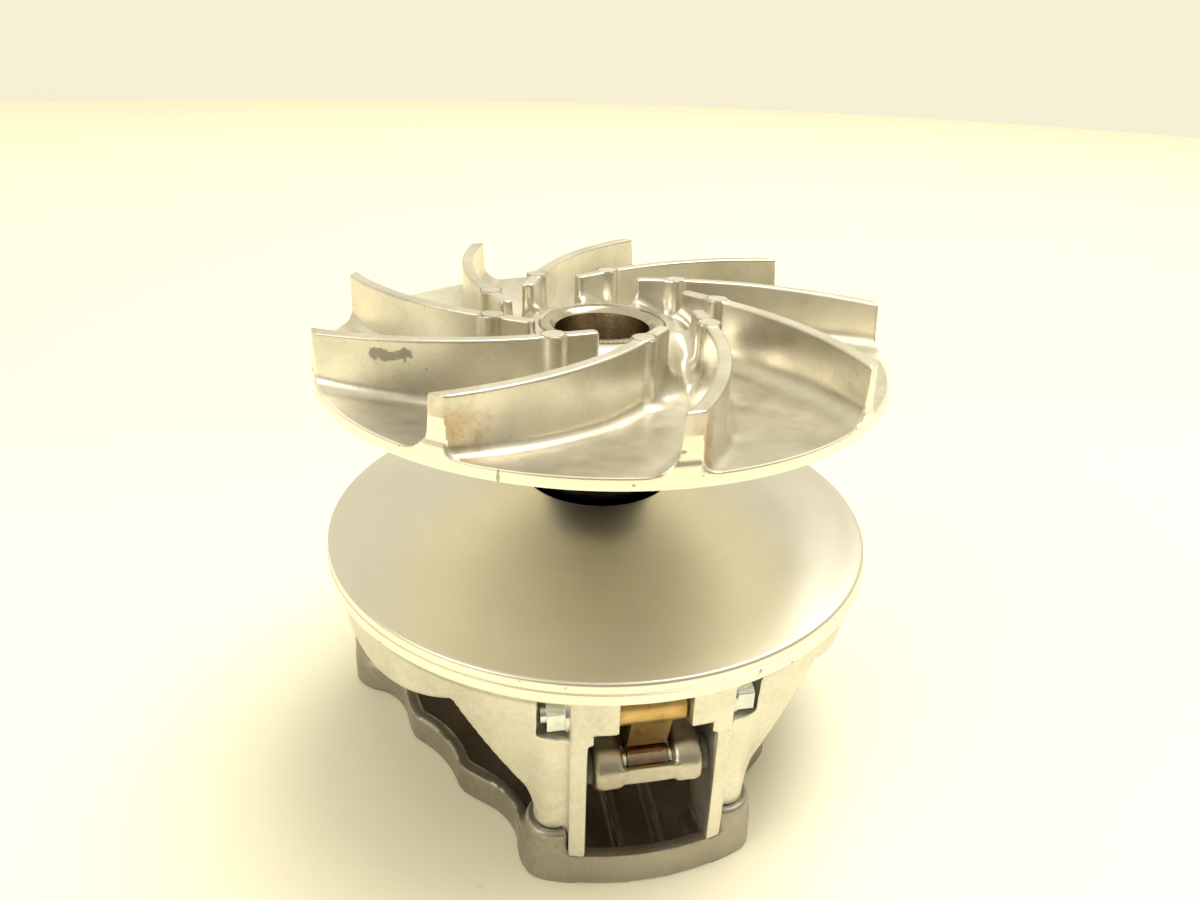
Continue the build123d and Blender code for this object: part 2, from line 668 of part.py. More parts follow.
with BuildPart() as flyweight_nuts:
    for azimuth in WINDOW_AZIMUTHS.values():
        with BuildSketch(side_plane(azimuth, BOLT_FACE)):
            with Locations((PIVOT_RHO, PIVOT_Z)):
                RegularPolygon(HEX_R, 6, rotation=90)
                Circle(PIVOT_BOLT_R, mode=Mode.SUBTRACT)
        extrude(amount=HEX_HIGH)
        end = BOLT_FACE + HEX_FLANGE_H
        add(cross_cylinder(azimuth, PIVOT_RHO, PIVOT_Z, HEX_FLANGE_R, PIVOT_BOLT_R, BOLT_FACE, end))


# ---------------------------------------------------------------- flyweights
def roller_seen_from_flyweight(travel):
    """Roller centre in the flyweight's own frame after some travel of the sheave."""
    swing = radians(FLYWEIGHT_SWING) * travel / SHIFT
    rho = ROLLER_RHO - PIVOT_RHO
    z = ROLLER_Z - PIVOT_Z - travel
    return Vector(PIVOT_RHO + rho * cos(swing) + z * sin(swing), PIVOT_Z + z * cos(swing) - rho * sin(swing))


def cam_point(travel, away):
    """Point beside the roller's path, on the side of the flyweight's leg."""
    step = roller_seen_from_flyweight(travel + 0.01) - roller_seen_from_flyweight(travel - 0.01)
    return roller_seen_from_flyweight(travel) + Vector(step.Y, -step.X).normalized() * away


def flyweight_at(azimuth):
    """A pinned hub with a narrower leg whose face follows the roller."""
    face = [cam_point(travel, ROLLER_R + CAM_GAP) for travel in (0.0, 5.0, 10.0, 15.0, 20.0, 25.0, 26.5)]
    back = [cam_point(travel, ROLLER_R + FLYWEIGHT_LEG) for travel in (26.5, 20.0, 14.0, 7.0)]
    shoulder = Vector(ROLLER_RHO + 1.6, ROLLER_Z + ROLLER_R + 1.5)
    with BuildPart() as piece:
        with BuildSketch(side_plane(azimuth)):
            with Locations((PIVOT_RHO, PIVOT_Z)):
                Circle(FLYWEIGHT_HUB_R)
                Circle(FLYWEIGHT_BORE_R, mode=Mode.SUBTRACT)
        extrude(amount=FLYWEIGHT_HUB_HALF, both=True)
        with BuildSketch(side_plane(azimuth)):
            with BuildLine():
                Line((PIVOT_RHO + FLYWEIGHT_HUB_R, PIVOT_Z), shoulder)
                ThreePointArc(
                    shoulder,
                    (ROLLER_RHO - 2.6, ROLLER_Z + 6.1),
                    face[0],
                )
                Spline(face)
                Line(face[-1], back[0])
                Spline(back)
                Line(back[-1], (PIVOT_RHO - FLYWEIGHT_HUB_R, PIVOT_Z))
                Line((PIVOT_RHO - FLYWEIGHT_HUB_R, PIVOT_Z), (PIVOT_RHO + FLYWEIGHT_HUB_R, PIVOT_Z))
            make_face()
            with Locations((PIVOT_RHO, PIVOT_Z)):
                Circle(FLYWEIGHT_BORE_R, mode=Mode.SUBTRACT)
        extrude(amount=FLYWEIGHT_LEG_HALF, both=True)
    return piece.part


for place, azimuth in WINDOW_AZIMUTHS.items():
    save(flyweight_at(azimuth), f"flyweight_{place}")
    hub_end = FLYWEIGHT_HUB_HALF - 0.2
    bush = cross_cylinder(
        azimuth, PIVOT_RHO, PIVOT_Z, FLYWEIGHT_BORE_R, PIVOT_BOLT_R + RUN, -hub_end, hub_end
    )
    save(bush, f"flyweight_bushing_{place}")
    roller = cross_cylinder(
        azimuth, ROLLER_RHO, ROLLER_Z, ROLLER_R, ROLLER_BORE_R, -ROLLER_HALF, ROLLER_HALF
    )
    save(roller, f"roller_{place}")
    roller_end = ROLLER_HALF - 0.2
    bush = cross_cylinder(
        azimuth, ROLLER_RHO, ROLLER_Z, ROLLER_BORE_R, PIN_R + RUN, -roller_end, roller_end
    )
    save(bush, f"roller_bushing_{place}")

# ---------------------------------------------------------------- one-way bearing
with BuildPart() as bearing_outer_ring:
    with BuildSketch(Plane.XZ):
        with BuildLine():
            Polyline(
                (BEARING_IN_R, BEARING_LOW_Z),
                (BEARING_OUT_R - 0.6, BEARING_LOW_Z),
                (BEARING_OUT_R, BEARING_LOW_Z + 0.6),
                (BEARING_OUT_R, BEARING_TOP_Z - 0.6),
                (BEARING_OUT_R - 0.6, BEARING_TOP_Z),
                (BEARING_IN_R, BEARING_TOP_Z),
                close=True,
            )
        make_face()
    revolve(axis=Axis.Z)

with BuildPart() as bearing_needles:
    with BuildSketch(Plane.XY.offset(BEARING_LOW_Z + 1.5)):
        with PolarLocations((BEARING_IN_R + JOURNAL_R) / 2, NEEDLE_COUNT):
            Circle(NEEDLE_R)
    extrude(amount=BEARING_TOP_Z - BEARING_LOW_Z - 3.0)

with BuildPart() as bearing_washers:
    add(ring(BEARING_OUT_R - 0.3, JOURNAL_R, SNAP_RING_Z + SNAP_RING_H + 0.2, BEARING_LOW_Z - 0.2))
    add(ring(BEARING_OUT_R - 0.3, JOURNAL_R, BEARING_TOP_Z + 0.2, POST_HEAD_LOW_Z))

with BuildPart() as bearing_snap_ring:
    with BuildSketch(Plane.XY.offset(SNAP_RING_Z)):
        Circle(JOURNAL_R + 2.0)
        Circle(JOURNAL_R - SNAP_GROOVE, mode=Mode.SUBTRACT)
        with Locations((JOURNAL_R, 0.0)):
            Rectangle(*SNAP_GAP, mode=Mode.SUBTRACT)
    extrude(amount=SNAP_RING_H)

# ---------------------------------------------------------------- spring
with BuildPart() as primary_spring:
    reach = SPIDER_SEAT_Z - COVER_FLOOR
    lead = SPRING_WIRE_R - SPRING_GROUND
    with BuildLine(Plane.XY.offset(COVER_FLOOR + lead)) as coil:
        Helix(pitch=(reach - 2 * lead) / SPRING_TURNS, height=reach - 2 * lead, radius=SPRING_R)
    with BuildSketch(coil.line ^ 0):
        Circle(SPRING_WIRE_R)
    sweep(is_frenet=True)
    # both ends ground flat on their seats
    split(bisect_by=Plane.XY.offset(COVER_FLOOR), keep=Keep.TOP)
    split(bisect_by=Plane.XY.offset(SPIDER_SEAT_Z), keep=Keep.BOTTOM)

# ---------------------------------------------------------------- write the pieces
PIECES = {
    "post": post,
    "fixed_sheave": fixed_sheave,
    "movable_sheave": movable_sheave,
    "sheave_bushing": sheave_bushing,
    "cover": cover,
    "cover_bushing": cover_bushing,
    "cover_bolts": cover_bolts,
    "spider": spider,
    "spider_nut": spider_nut,
    "roller_pins": roller_pins,
    "roller_washers": roller_washers,
    "spider_buttons": spider_buttons,
    "flyweight_bolts": flyweight_bolts,
    "flyweight_nuts": flyweight_nuts,
    "bearing_outer_ring": bearing_outer_ring,
    "bearing_needles": bearing_needles,
    "bearing_washers": bearing_washers,
    "bearing_snap_ring": bearing_snap_ring,
    "primary_spring": primary_spring,
}
for name, piece in PIECES.items():
    save(piece.part, name)
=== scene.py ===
import json
import math

import bmesh
import bpy
import numpy as np
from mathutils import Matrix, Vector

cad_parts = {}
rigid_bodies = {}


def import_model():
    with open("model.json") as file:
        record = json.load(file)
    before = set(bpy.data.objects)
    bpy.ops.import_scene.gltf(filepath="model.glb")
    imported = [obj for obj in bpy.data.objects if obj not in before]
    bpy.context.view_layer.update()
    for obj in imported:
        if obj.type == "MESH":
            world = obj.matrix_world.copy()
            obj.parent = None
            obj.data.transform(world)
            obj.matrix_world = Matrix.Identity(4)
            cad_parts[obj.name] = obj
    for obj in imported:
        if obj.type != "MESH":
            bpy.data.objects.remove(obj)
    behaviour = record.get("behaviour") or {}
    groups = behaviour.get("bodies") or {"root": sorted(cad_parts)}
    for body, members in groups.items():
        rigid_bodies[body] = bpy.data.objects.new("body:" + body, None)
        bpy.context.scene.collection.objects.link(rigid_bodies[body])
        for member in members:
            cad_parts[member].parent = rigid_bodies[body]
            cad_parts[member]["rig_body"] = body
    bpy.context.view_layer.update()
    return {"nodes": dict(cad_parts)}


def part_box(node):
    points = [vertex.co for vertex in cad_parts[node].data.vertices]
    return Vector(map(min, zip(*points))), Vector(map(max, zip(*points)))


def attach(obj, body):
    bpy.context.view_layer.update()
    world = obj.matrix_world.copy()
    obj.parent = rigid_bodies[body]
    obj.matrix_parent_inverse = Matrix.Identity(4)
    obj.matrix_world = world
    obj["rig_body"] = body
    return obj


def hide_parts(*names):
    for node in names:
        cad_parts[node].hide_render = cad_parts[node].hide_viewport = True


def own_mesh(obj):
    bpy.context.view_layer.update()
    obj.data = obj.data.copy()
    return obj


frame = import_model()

import openvdb
from mathutils import Matrix, Vector

MM = 0.001
RAD = math.pi / 180.0
WINDOWS = {"front": -90.0, "right": 30.0, "left": 150.0}


def top_of(node):
    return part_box(node)[1].z / MM


def bottom_of(node):
    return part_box(node)[0].z / MM


def polar(radius, azimuth):
    return radius * math.cos(azimuth * RAD), radius * math.sin(azimuth * RAD)


FIN_COUNT, FIN_FIRST = 9, -167.55
FIN_TOP = top_of("fixed_sheave")


# ------------------------------------------------------------------ materials
def new_material(name):
    material = bpy.data.materials.new(name)
    material.use_nodes = True
    tree = material.node_tree
    tree.nodes.clear()
    output = tree.nodes.new("ShaderNodeOutputMaterial")
    shader = tree.nodes.new("ShaderNodeBsdfPrincipled")
    tree.links.new(shader.outputs["BSDF"], output.inputs["Surface"])
    return material, tree, shader


def node(tree, kind, inputs=(), **settings):
    """A shader node with its settings, and its inputs as values or as links."""
    made = tree.nodes.new(kind)
    for key, value in settings.items():
        setattr(made, key, value)
    for key, value in dict(inputs).items():
        socket = made.inputs[key]
        if isinstance(value, bpy.types.NodeSocket):
            tree.links.new(value, socket)
        else:
            socket.default_value = value
    return made


def position(tree):
    return node(tree, "ShaderNodeTexCoord").outputs["Object"]


def noise(tree, place, scale, detail=4.0, roughness=0.55):
    made = node(
        tree, "ShaderNodeTexNoise",
        {"Vector": place, "Scale": scale, "Detail": detail, "Roughness": roughness},
    )
    return made.outputs["Fac"]


def ramp(tree, factor, stops):
    """A colour ramp from (place, colour) stops; grey levels may be single numbers."""
    made = node(tree, "ShaderNodeValToRGB", {"Fac": factor})
    elements = made.color_ramp.elements
    while len(elements) < len(stops):
        elements.new(0.5)
    for element, (place, colour) in zip(elements, stops):
        element.position = place
        grey = (colour, colour, colour)
        element.color = (*(colour if hasattr(colour, "__len__") else grey), 1.0)
    return made.outputs["Color"]


def math_node(tree, operation, a, b=0.0):
    return node(tree, "ShaderNodeMath", {0: a, 1: b}, operation=operation).outputs[0]


def scaled(tree, place, factors):
    made = node(tree, "ShaderNodeVectorMath", {0: place, 1: factors}, operation="MULTIPLY")
    return made.outputs[0]


def length(tree, vector):
    return node(tree, "ShaderNodeVectorMath", {0: vector}, operation="LENGTH").outputs["Value"]


def mix(tree, factor, a, b, blend="MIX"):
    made = tree.nodes.new("ShaderNodeMix")
    made.data_type = "RGBA"
    made.blend_type = blend
    colours = [socket for socket in made.inputs if socket.type == "RGBA"]
    for socket, value in zip([made.inputs[0], *colours], (factor, a, b)):
        if isinstance(value, bpy.types.NodeSocket):
            tree.links.new(value, socket)
        else:
            socket.default_value = (*value, 1.0) if socket.type == "RGBA" else value
    return next(socket for socket in made.outputs if socket.type == "RGBA")


def rings(tree, place):
    """Coordinates that vary with radius and height only, so that noise makes lathe lines."""
    radius = length(tree, scaled(tree, place, (1.0, 1.0, 0.0)))
    height = node(tree, "ShaderNodeSeparateXYZ", {0: place}).outputs["Z"]
    return node(tree, "ShaderNodeCombineXYZ", {0: radius, 2: height}).outputs[0]


def bump(tree, shader, heights):
    """Bumps stacked one on another, from (height, strength, distance in metres)."""
    normal = None
    for height, strength, distance in heights:
        inputs = {"Height": height, "Strength": strength, "Distance": distance}
        if normal is not None:
            inputs["Normal"] = normal
        normal = node(tree, "ShaderNodeBump", inputs).outputs["Normal"]
    tree.links.new(normal, shader.inputs["Normal"])


def roughen(tree, shader, level, limits):
    """Roughness between two limits, by a noise level."""
    made = ramp(tree, level, [(0.3, limits[0]), (0.7, limits[1])])
    tree.links.new(made, shader.inputs["Roughness"])


def spots(tree, place, scale, low, high, strength):
    """A mask of small spots: where fine noise passes a threshold."""
    mask = ramp(tree, noise(tree, place, scale, 2.0, 0.5), [(low, 0.0), (high, 1.0)])
    return math_node(tree, "MULTIPLY", mask, strength)


def mark(tree, place, colour, centre, reach, shade, strength, core):
    """A ragged stain round one point of a fin; it is the softer the smaller its core."""
    fin, radius, past_tip, depth = centre
    x, y = polar(radius, FIN_FIRST + fin * 360.0 / FIN_COUNT + past_tip)
    middle = (x * MM, y * MM, (FIN_TOP - depth) * MM)
    offset = node(tree, "ShaderNodeVectorMath", {0: place, 1: middle}, operation="SUBTRACT")
    away = length(tree, scaled(tree, offset.outputs[0], tuple(1.0 / (c * MM) for c in reach)))
    ragged = math_node(tree, "ADD", away, noise(tree, place, 210.0, 6.0, 0.7))
    mask = ramp(tree, ragged, [(core, strength), (1.0, 0.0)])
    return mix(tree, mask, colour, shade)


def cast_metal(
    name, light, dark, rough=(0.3, 0.42), grain=0.3, stain=None, metallic=1.0, marks=(),
):
    """Cast and tumbled aluminium: soft waves, a fine grain, cloudy tone and small pits."""
    material, tree, shader = new_material(name)
    place = position(tree)
    cloud = noise(tree, place, 30.0, 8.0, 0.6)
    colour = ramp(tree, cloud, [(0.3, dark), (0.62, light)])
    fine = noise(tree, place, 520.0, 5.0, 0.7)
    colour = mix(tree, 0.4 * grain, colour, ramp(tree, fine, [(0.38, 0.3), (0.62, 0.8)]), "OVERLAY")
    if stain is not None:
        patch = ramp(tree, noise(tree, place, 21.0, 10.0, 0.72), [(0.60, 0.0), (0.74, 0.5)])
        colour = mix(tree, patch, colour, stain)
    for settings in marks:
        colour = mark(tree, place, colour, *settings)
    pits = spots(tree, place, 700.0, 0.72, 0.76, 0.5)
    colour = mix(tree, pits, colour, tuple(c * 0.4 for c in dark))
    tree.links.new(colour, shader.inputs["Base Color"])
    shader.inputs["Metallic"].default_value = metallic
    spread = noise(tree, place, 90.0, 5.0, 0.6)
    roughen(tree, shader, spread, rough)
    bump(tree, shader, [
        (noise(tree, place, 60.0, 3.0, 0.5), 0.4, 0.0005),
        (fine, grain, 0.0002),
        (pits, 0.4, -0.0002),
    ])
    return material


def turned_metal(
    name, light, dark, rough=(0.285, 0.35), anisotropic=0.5, line=0.0, chips=0.0, scuffs=0.0,
):
    """Metal faced on a lathe: concentric bands and lines, stretched highlights, chips and scuffs."""
    material, tree, shader = new_material(name)
    place = position(tree)
    turning = rings(tree, place)
    bands = noise(tree, turning, 200.0, 3.0, 0.6)
    colour = ramp(tree, noise(tree, place, 16.0, 3.0, 0.6), [(0.3, dark), (0.7, light)])
    colour = mix(tree, 0.08, colour, ramp(tree, bands, [(0.35, 0.3), (0.65, 0.8)]), "OVERLAY")
    deep = tuple(c * 0.3 for c in dark)
    colour = mix(tree, spots(tree, place, 300.0, 0.74, 0.8, 0.15), colour, deep)
    if chips:
        colour = mix(tree, spots(tree, place, 190.0, 0.7, 0.72, chips), colour, deep)
    if scuffs:
        upright = scaled(tree, place, (1.0, 1.0, 0.1))
        colour = mix(tree, spots(tree, upright, 900.0, 0.5, 0.62, scuffs), colour, light)
    tree.links.new(colour, shader.inputs["Base Color"])
    shader.inputs["Metallic"].default_value = 1.0
    shader.inputs["Anisotropic"].default_value = anisotropic
    tangent = node(tree, "ShaderNodeTangent", direction_type="RADIAL", axis="Z")
    tree.links.new(tangent.outputs[0], shader.inputs["Tangent"])
    both = math_node(tree, "ADD", noise(tree, place, 40.0, 5.0, 0.6), bands)
    level = math_node(tree, "MULTIPLY", both, 0.5)
    roughen(tree, shader, level, rough)
    if line:
        lathe = noise(tree, turning, 3200.0, 3.0, 0.6)
        bump(tree, shader, [(lathe, line, 0.00005), (bands, 0.05, 0.0001)])
    return material


def plain_metal(name, light, dark, rough=(0.2, 0.4), metallic=1.0, scale=120.0, wear=None):
    """Machined or plated small parts: cloudy tone, tiny scratches and handling marks."""
    material, tree, shader = new_material(name)
    place = position(tree)
    cloud = noise(tree, place, scale, 6.0, 0.65)
    colour = ramp(tree, cloud, [(0.32, dark), (0.68, light)])
    if wear is not None:
        colour = mix(tree, spots(tree, place, scale * 1.4, 0.52, 0.66, 0.65), colour, wear)
    tree.links.new(colour, shader.inputs["Base Color"])
    shader.inputs["Metallic"].default_value = metallic
    scuff = noise(tree, place, scale * 7.0, 4.0, 0.7)
    roughen(tree, shader, scuff, rough)
    bump(tree, shader, [(scuff, 0.12, 0.0001), (cloud, 0.08, 0.0002)])
    return material


SOOT, BROWN = (0.12, 0.115, 0.105), (0.36, 0.20, 0.08)
# A dark stain on one fin, and brown tints near the tips of the next two.  Each has its centre
# (fin, radius, degrees past the tip, depth below the top), reach, shade, strength and core.
FIN_MARKS = [
    ((0, 74.0, 7.0, 5.5), (24.0, 24.0, 7.0), SOOT, 0.7, 0.93),
    ((1, 97.0, 3.0, 10.5), (24.0, 30.0, 26.0), BROWN, 0.8, 0.45),
    ((2, 97.0, 3.0, 11.5), (14.0, 18.0, 30.0), BROWN, 0.7, 0.45),
]

# Light and dark tones of each finish.  Each range of roughness stays on one side of 0.27, because
# thin dark edges showed on a turned face wherever its roughness crossed that value.
FINISHES = {
    "cast": cast_metal(
        "cast_aluminium", (0.80, 0.765, 0.67), (0.60, 0.57, 0.485),
        stain=(0.36, 0.34, 0.28), marks=FIN_MARKS,
    ),
    "skirt": cast_metal(
        "sand_cast_aluminium", (0.80, 0.77, 0.68), (0.62, 0.595, 0.52),
        rough=(0.38, 0.5), grain=0.6, stain=(0.42, 0.40, 0.34),
    ),
    "cover": cast_metal(
        "cover_casting", (0.40, 0.375, 0.325), (0.27, 0.25, 0.21),
        rough=(0.36, 0.5), grain=0.45, stain=(0.18, 0.155, 0.12),
    ),
    "grime": cast_metal(
        "oily_casting", (0.20, 0.155, 0.115), (0.11, 0.08, 0.06),
        rough=(0.34, 0.5), stain=(0.06, 0.045, 0.035), metallic=0.6,
    ),
    # The spider's darker brown-grey tone and brown patches are partly stain and partly painted shade
    # and a painted brown reflection.
    "spider": cast_metal(
        "fine_casting_stain_and_painted_reflection", (0.60, 0.56, 0.48), (0.36, 0.32, 0.26),
        rough=(0.285, 0.38), stain=(0.26, 0.17, 0.10),
    ),
    "turned": turned_metal("turned_aluminium", (0.80, 0.775, 0.70), (0.72, 0.695, 0.62)),
    "rim": turned_metal(
        "turned_rim", (0.93, 0.90, 0.80), (0.84, 0.80, 0.69),
        rough=(0.285, 0.38), anisotropic=0.3, chips=0.75,
    ),
    "lobe": turned_metal(
        "scuffed_face", (0.47, 0.44, 0.385), (0.36, 0.335, 0.285),
        rough=(0.36, 0.48), anisotropic=0.0, line=0.3, scuffs=0.3,
    ),
    "steel": plain_metal(
        "ground_steel", (0.62, 0.56, 0.47), (0.46, 0.41, 0.33), rough=(0.12, 0.22),
    ),
    # The rollers' dark brown is painted shade, with the brown of a painted reflection of the yellow
    # flyweights.
    "roller": plain_metal(
        "roller_steel", (0.40, 0.29, 0.21), (0.24, 0.17, 0.13), rough=(0.1, 0.2),
    ),
    "dark": plain_metal(
        "dark_steel", (0.13, 0.12, 0.115), (0.06, 0.055, 0.05), rough=(0.285, 0.42),
    ),
    "black": plain_metal(
        "black_oxide", (0.035, 0.035, 0.04), (0.015, 0.015, 0.018), rough=(0.12, 0.26),
    ),
    "zinc": plain_metal(
        "zinc_plate", (0.78, 0.80, 0.78), (0.56, 0.62, 0.62), rough=(0.1, 0.2),
    ),
    "yellow": plain_metal(
        "yellow_zinc", (0.66, 0.47, 0.20), (0.50, 0.33, 0.12),
        rough=(0.285, 0.4), wear=(0.34, 0.19, 0.07),
    ),
    "bronze": plain_metal(
        "bronze", (0.55, 0.38, 0.20), (0.38, 0.24, 0.12), rough=(0.285, 0.42),
    ),
    "spring": plain_metal(
        "spring_steel", (0.10, 0.12, 0.16), (0.05, 0.06, 0.08), rough=(0.3, 0.45),
    ),
    "plastic": plain_metal(
        "grey_nylon", (0.13, 0.13, 0.12), (0.07, 0.07, 0.065), rough=(0.45, 0.6), metallic=0.0,
    ),
}


def finish(thing, *names):
    """Gives a thing these finishes; a new piece keeps the face numbers it was made with."""
    if thing.data.materials:
        thing.data.materials.clear()
    for name in names:
        thing.data.materials.append(FINISHES[name])


# ------------------------------------------------------------------ shape fields
def union(a, b, radius):
    """The nearer of two distances, with a fillet of that radius where they meet."""
    corner = np.hypot(np.maximum(radius - a, 0.0), np.maximum(radius - b, 0.0))
    return np.maximum(radius, np.minimum(a, b)) - corner


def common(a, b, radius):
    """What two shapes share, its edge rounded to that radius."""
    return -union(-a, -b, radius)


def ease(x):
    """0 to 1, flat at both ends."""
    x = np.clip(x, 0.0, 1.0)
    return x * x * (3.0 - 2.0 * x)


def surface(field, chart, lines, copies):
    """Points and quads of field's zero surface over one sector of a polar grid, and the
    quads that reach into the next sector.  chart(r, v, t) gives azimuth and height."""
    sector = 2.0 * math.pi / copies
    r_lines, v_lines, t_lines = lines
    v_lines = np.concatenate([[v_lines[-2] - 2.0], v_lines, [v_lines[1] + 2.0]])

    def place(r, v, t):
        turn = np.floor((v + 1.0) / 2.0)
        azimuth, z = chart(r, v - 2.0 * turn, t)
        azimuth = azimuth + turn * sector
        return np.stack([r * np.cos(azimuth), r * np.sin(azimuth), z + 0.0 * azimuth], axis=-1)

    grid = openvdb.FloatGrid()
    grid.background = 1.0
    nodes = place(*np.meshgrid(r_lines, v_lines, t_lines, indexing="ij"))
    values = field(nodes[..., 0], nodes[..., 1], nodes[..., 2])
    grid.copyFromArray(values.astype(np.float32))
    index, _, quads = grid.convertToPolygons(isovalue=0.0, adaptivity=0.0)
    index = np.asarray(index, float)
    points = place(*(
        np.interp(index[:, number], np.arange(len(axis)), axis)
        for number, axis in enumerate((r_lines, v_lines, t_lines))
    ))
    for _ in range(3):
        points = points - toward(field, points)
    low, high = index[quads].min(axis=1), index[quads].max(axis=1)
    inside = (low[:, [0, 2]] >= 0).all(axis=1)
    inside &= (high[:, 0] <= len(r_lines) - 1) & (high[:, 2] <= len(t_lines) - 1)
    cell = np.floor(low[:, 1])
    inside &= (cell >= 1) & (cell <= len(v_lines) - 3)
    return points, np.asarray(quads)[inside]


def toward(field, points, step=0.02, limit=0.5):
    """Moves that put points on the zero surface, each no longer than the limit."""
    value = field(*points.T)
    slope = np.stack([
        (field(*(points + offset).T) - field(*(points - offset).T)) / (2.0 * step)
        for offset in np.eye(3) * step
    ], axis=-1)
    move = slope * (value / np.maximum((slope ** 2).sum(axis=1), 0.05))[:, None]
    length = np.linalg.norm(move, axis=1, keepdims=True)
    return move * np.minimum(1.0, limit / np.maximum(length, 1e-9))


WELD = 0.002


def casting(field, chart, lines, copies, first_azimuth):
    """A bmesh of the whole surface: the sector, turned round the shaft and welded."""
    points, quads = surface(field, chart, lines, copies)
    used, quads = np.unique(quads, return_inverse=True)
    points, quads = points[used], quads.reshape(-1, 4)
    shape = bmesh.new()
    for copy in range(copies):
        turn = Matrix.Rotation((first_azimuth + copy * 360.0 / copies) * RAD, 3, "Z")
        verts = [shape.verts.new(turn @ Vector(p)) for p in points]
        for quad in quads:
            shape.faces.new([verts[i] for i in quad])
    bmesh.ops.remove_doubles(shape, verts=shape.verts, dist=WELD)
    return shape


def azimuth_of(vert):
    return math.atan2(vert.co.y, vert.co.x)


def radius_and_height(vert):
    return vert.co.xy.length, vert.co.z


def open_loops(shape):
    """The two open ends of a casting, each sorted by azimuth: the wide one first."""
    ends = {v for e in shape.edges if e.is_boundary for v in e.verts}
    middle = sum(v.co.xy.length for v in ends) / len(ends)
    wide = sorted((v for v in ends if v.co.xy.length > middle), key=azimuth_of)
    narrow = sorted((v for v in ends if v.co.xy.length <= middle), key=azimuth_of)
    return wide, narrow


def join_rings(shape, a, b):
    return [
        shape.faces.new((a[i], a[(i + 1) % len(a)], b[(i + 1) % len(a)], b[i]))
        for i in range(len(a))
    ]


def turned_skin(shape, profile, twist=0.0):
    """Closes a casting with turned faces along a profile of (radius, z) from its wide open
    end to its narrow one.  twist is how far the narrow end's lines are turned, in degrees."""
    wide, narrow = open_loops(shape)
    if len(wide) != len(narrow):
        raise ValueError(f"open ends of {len(wide)} and {len(narrow)} points")
    count = len(wide)
    start = np.array([azimuth_of(v) for v in wide])
    target = start[0] + twist * RAD
    gaps = [abs(math.remainder(azimuth_of(v) - target, 2.0 * math.pi)) for v in narrow]
    first = gaps.index(min(gaps))
    narrow = narrow[first:] + narrow[:first]
    end = np.unwrap([azimuth_of(v) for v in narrow])
    end += 2.0 * math.pi * round((target - end[0]) / (2.0 * math.pi))
    path = np.array([radius_and_height(wide[0]), *profile, radius_and_height(narrow[0])])
    along = np.concatenate([[0.0], np.cumsum(np.hypot(*np.diff(path, axis=0).T))])
    before, made = wide, []
    for (radius, z), share in zip(profile, along[1:-1] / along[-1]):
        turn = start + (end - start) * share
        ring = [shape.verts.new((radius * math.cos(a), radius * math.sin(a), z)) for a in turn]
        made += join_rings(shape, before, ring)
        before = ring
    made += join_rings(shape, before, narrow)
    return made


def piece(shape, name, body, slot, *finishes, node_name=None, sharp=38.0):
    """A finished object in metres from a bmesh in millimetres, no taller than its node."""
    replaced = node_name or name.removesuffix("_casting")
    low, high = bottom_of(replaced), top_of(replaced)
    for vert in shape.verts:
        vert.co.z = min(max(vert.co.z, low), high)
    bmesh.ops.recalc_face_normals(shape, faces=shape.faces)
    mesh = bpy.data.meshes.new(name)
    shape.to_mesh(mesh)
    shape.free()
    mesh.transform(Matrix.Scale(MM, 4))
    mesh.polygons.foreach_set("use_smooth", [True] * len(mesh.polygons))
    mesh.set_sharp_from_angle(angle=sharp * RAD)
    made = bpy.data.objects.new(name, mesh)
    bpy.context.scene.collection.objects.link(made)
    finish(made, *finishes)
    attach(made, body)
    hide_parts(replaced)
    return made


# ------------------------------------------------------------------ fixed sheave
SLOPE = math.tan(13.0 * RAD)
FIXED_R = 99.1
FIXED_FACE_Z = 147.2
POST_HEAD_R = 22.3
FIN_BOSS = (41.0, 44.5)
FIN_END = (33.0, 64.0)
FIN_BEND = (66.0, 19.2)
FIN_START = (103.3, -2.4)
FIN_HALF, FIN_DRAFT = 2.15, 0.02
FIN_BELOW_BOSS = 0.35
FIN_BOSS_R, FIN_BOSS_DRAFT, FIN_BOSS_SINK = 4.1, 0.01, 0.08
FIN_FOOT, FIN_FOOT_LEAN = 5.4, 1.6          # fillet at the foot, and how its two sides differ
POCKET_Z, POCKET_FLAT_R, POCKET_RISE = 146.6, 60.0, 0.113
HUB_Z, HUB_FOOT_R, HUB_FLANK = 160.0, 43.5, 19.0
RIM_DRAFT, RIM_STEP, RIM_STEP_Z = 0.05, 0.45, 153.5
FIXED_HUB_R, FIXED_HUB_Z = 26.0, 130.2


def circle_through(a, b, c):
    """Centre and radius of the circle through three plane points."""
    (ax, ay), (bx, by), (cx, cy) = a, b, c
    aa, bb, cc = ax**2 + ay**2, bx**2 + by**2, cx**2 + cy**2
    d = 2.0 * (ax * (by - cy) + bx * (cy - ay) + cx * (ay - by))
    x = (aa * (by - cy) + bb * (cy - ay) + cc * (ay - by)) / d
    y = (aa * (cx - bx) + bb * (ax - cx) + cc * (bx - ax)) / d
    return (x, y), math.hypot(ax - x, ay - y)


FIN_CENTRE, FIN_ARC_R = circle_through(polar(*FIN_START), polar(*FIN_BEND), polar(*FIN_BOSS))


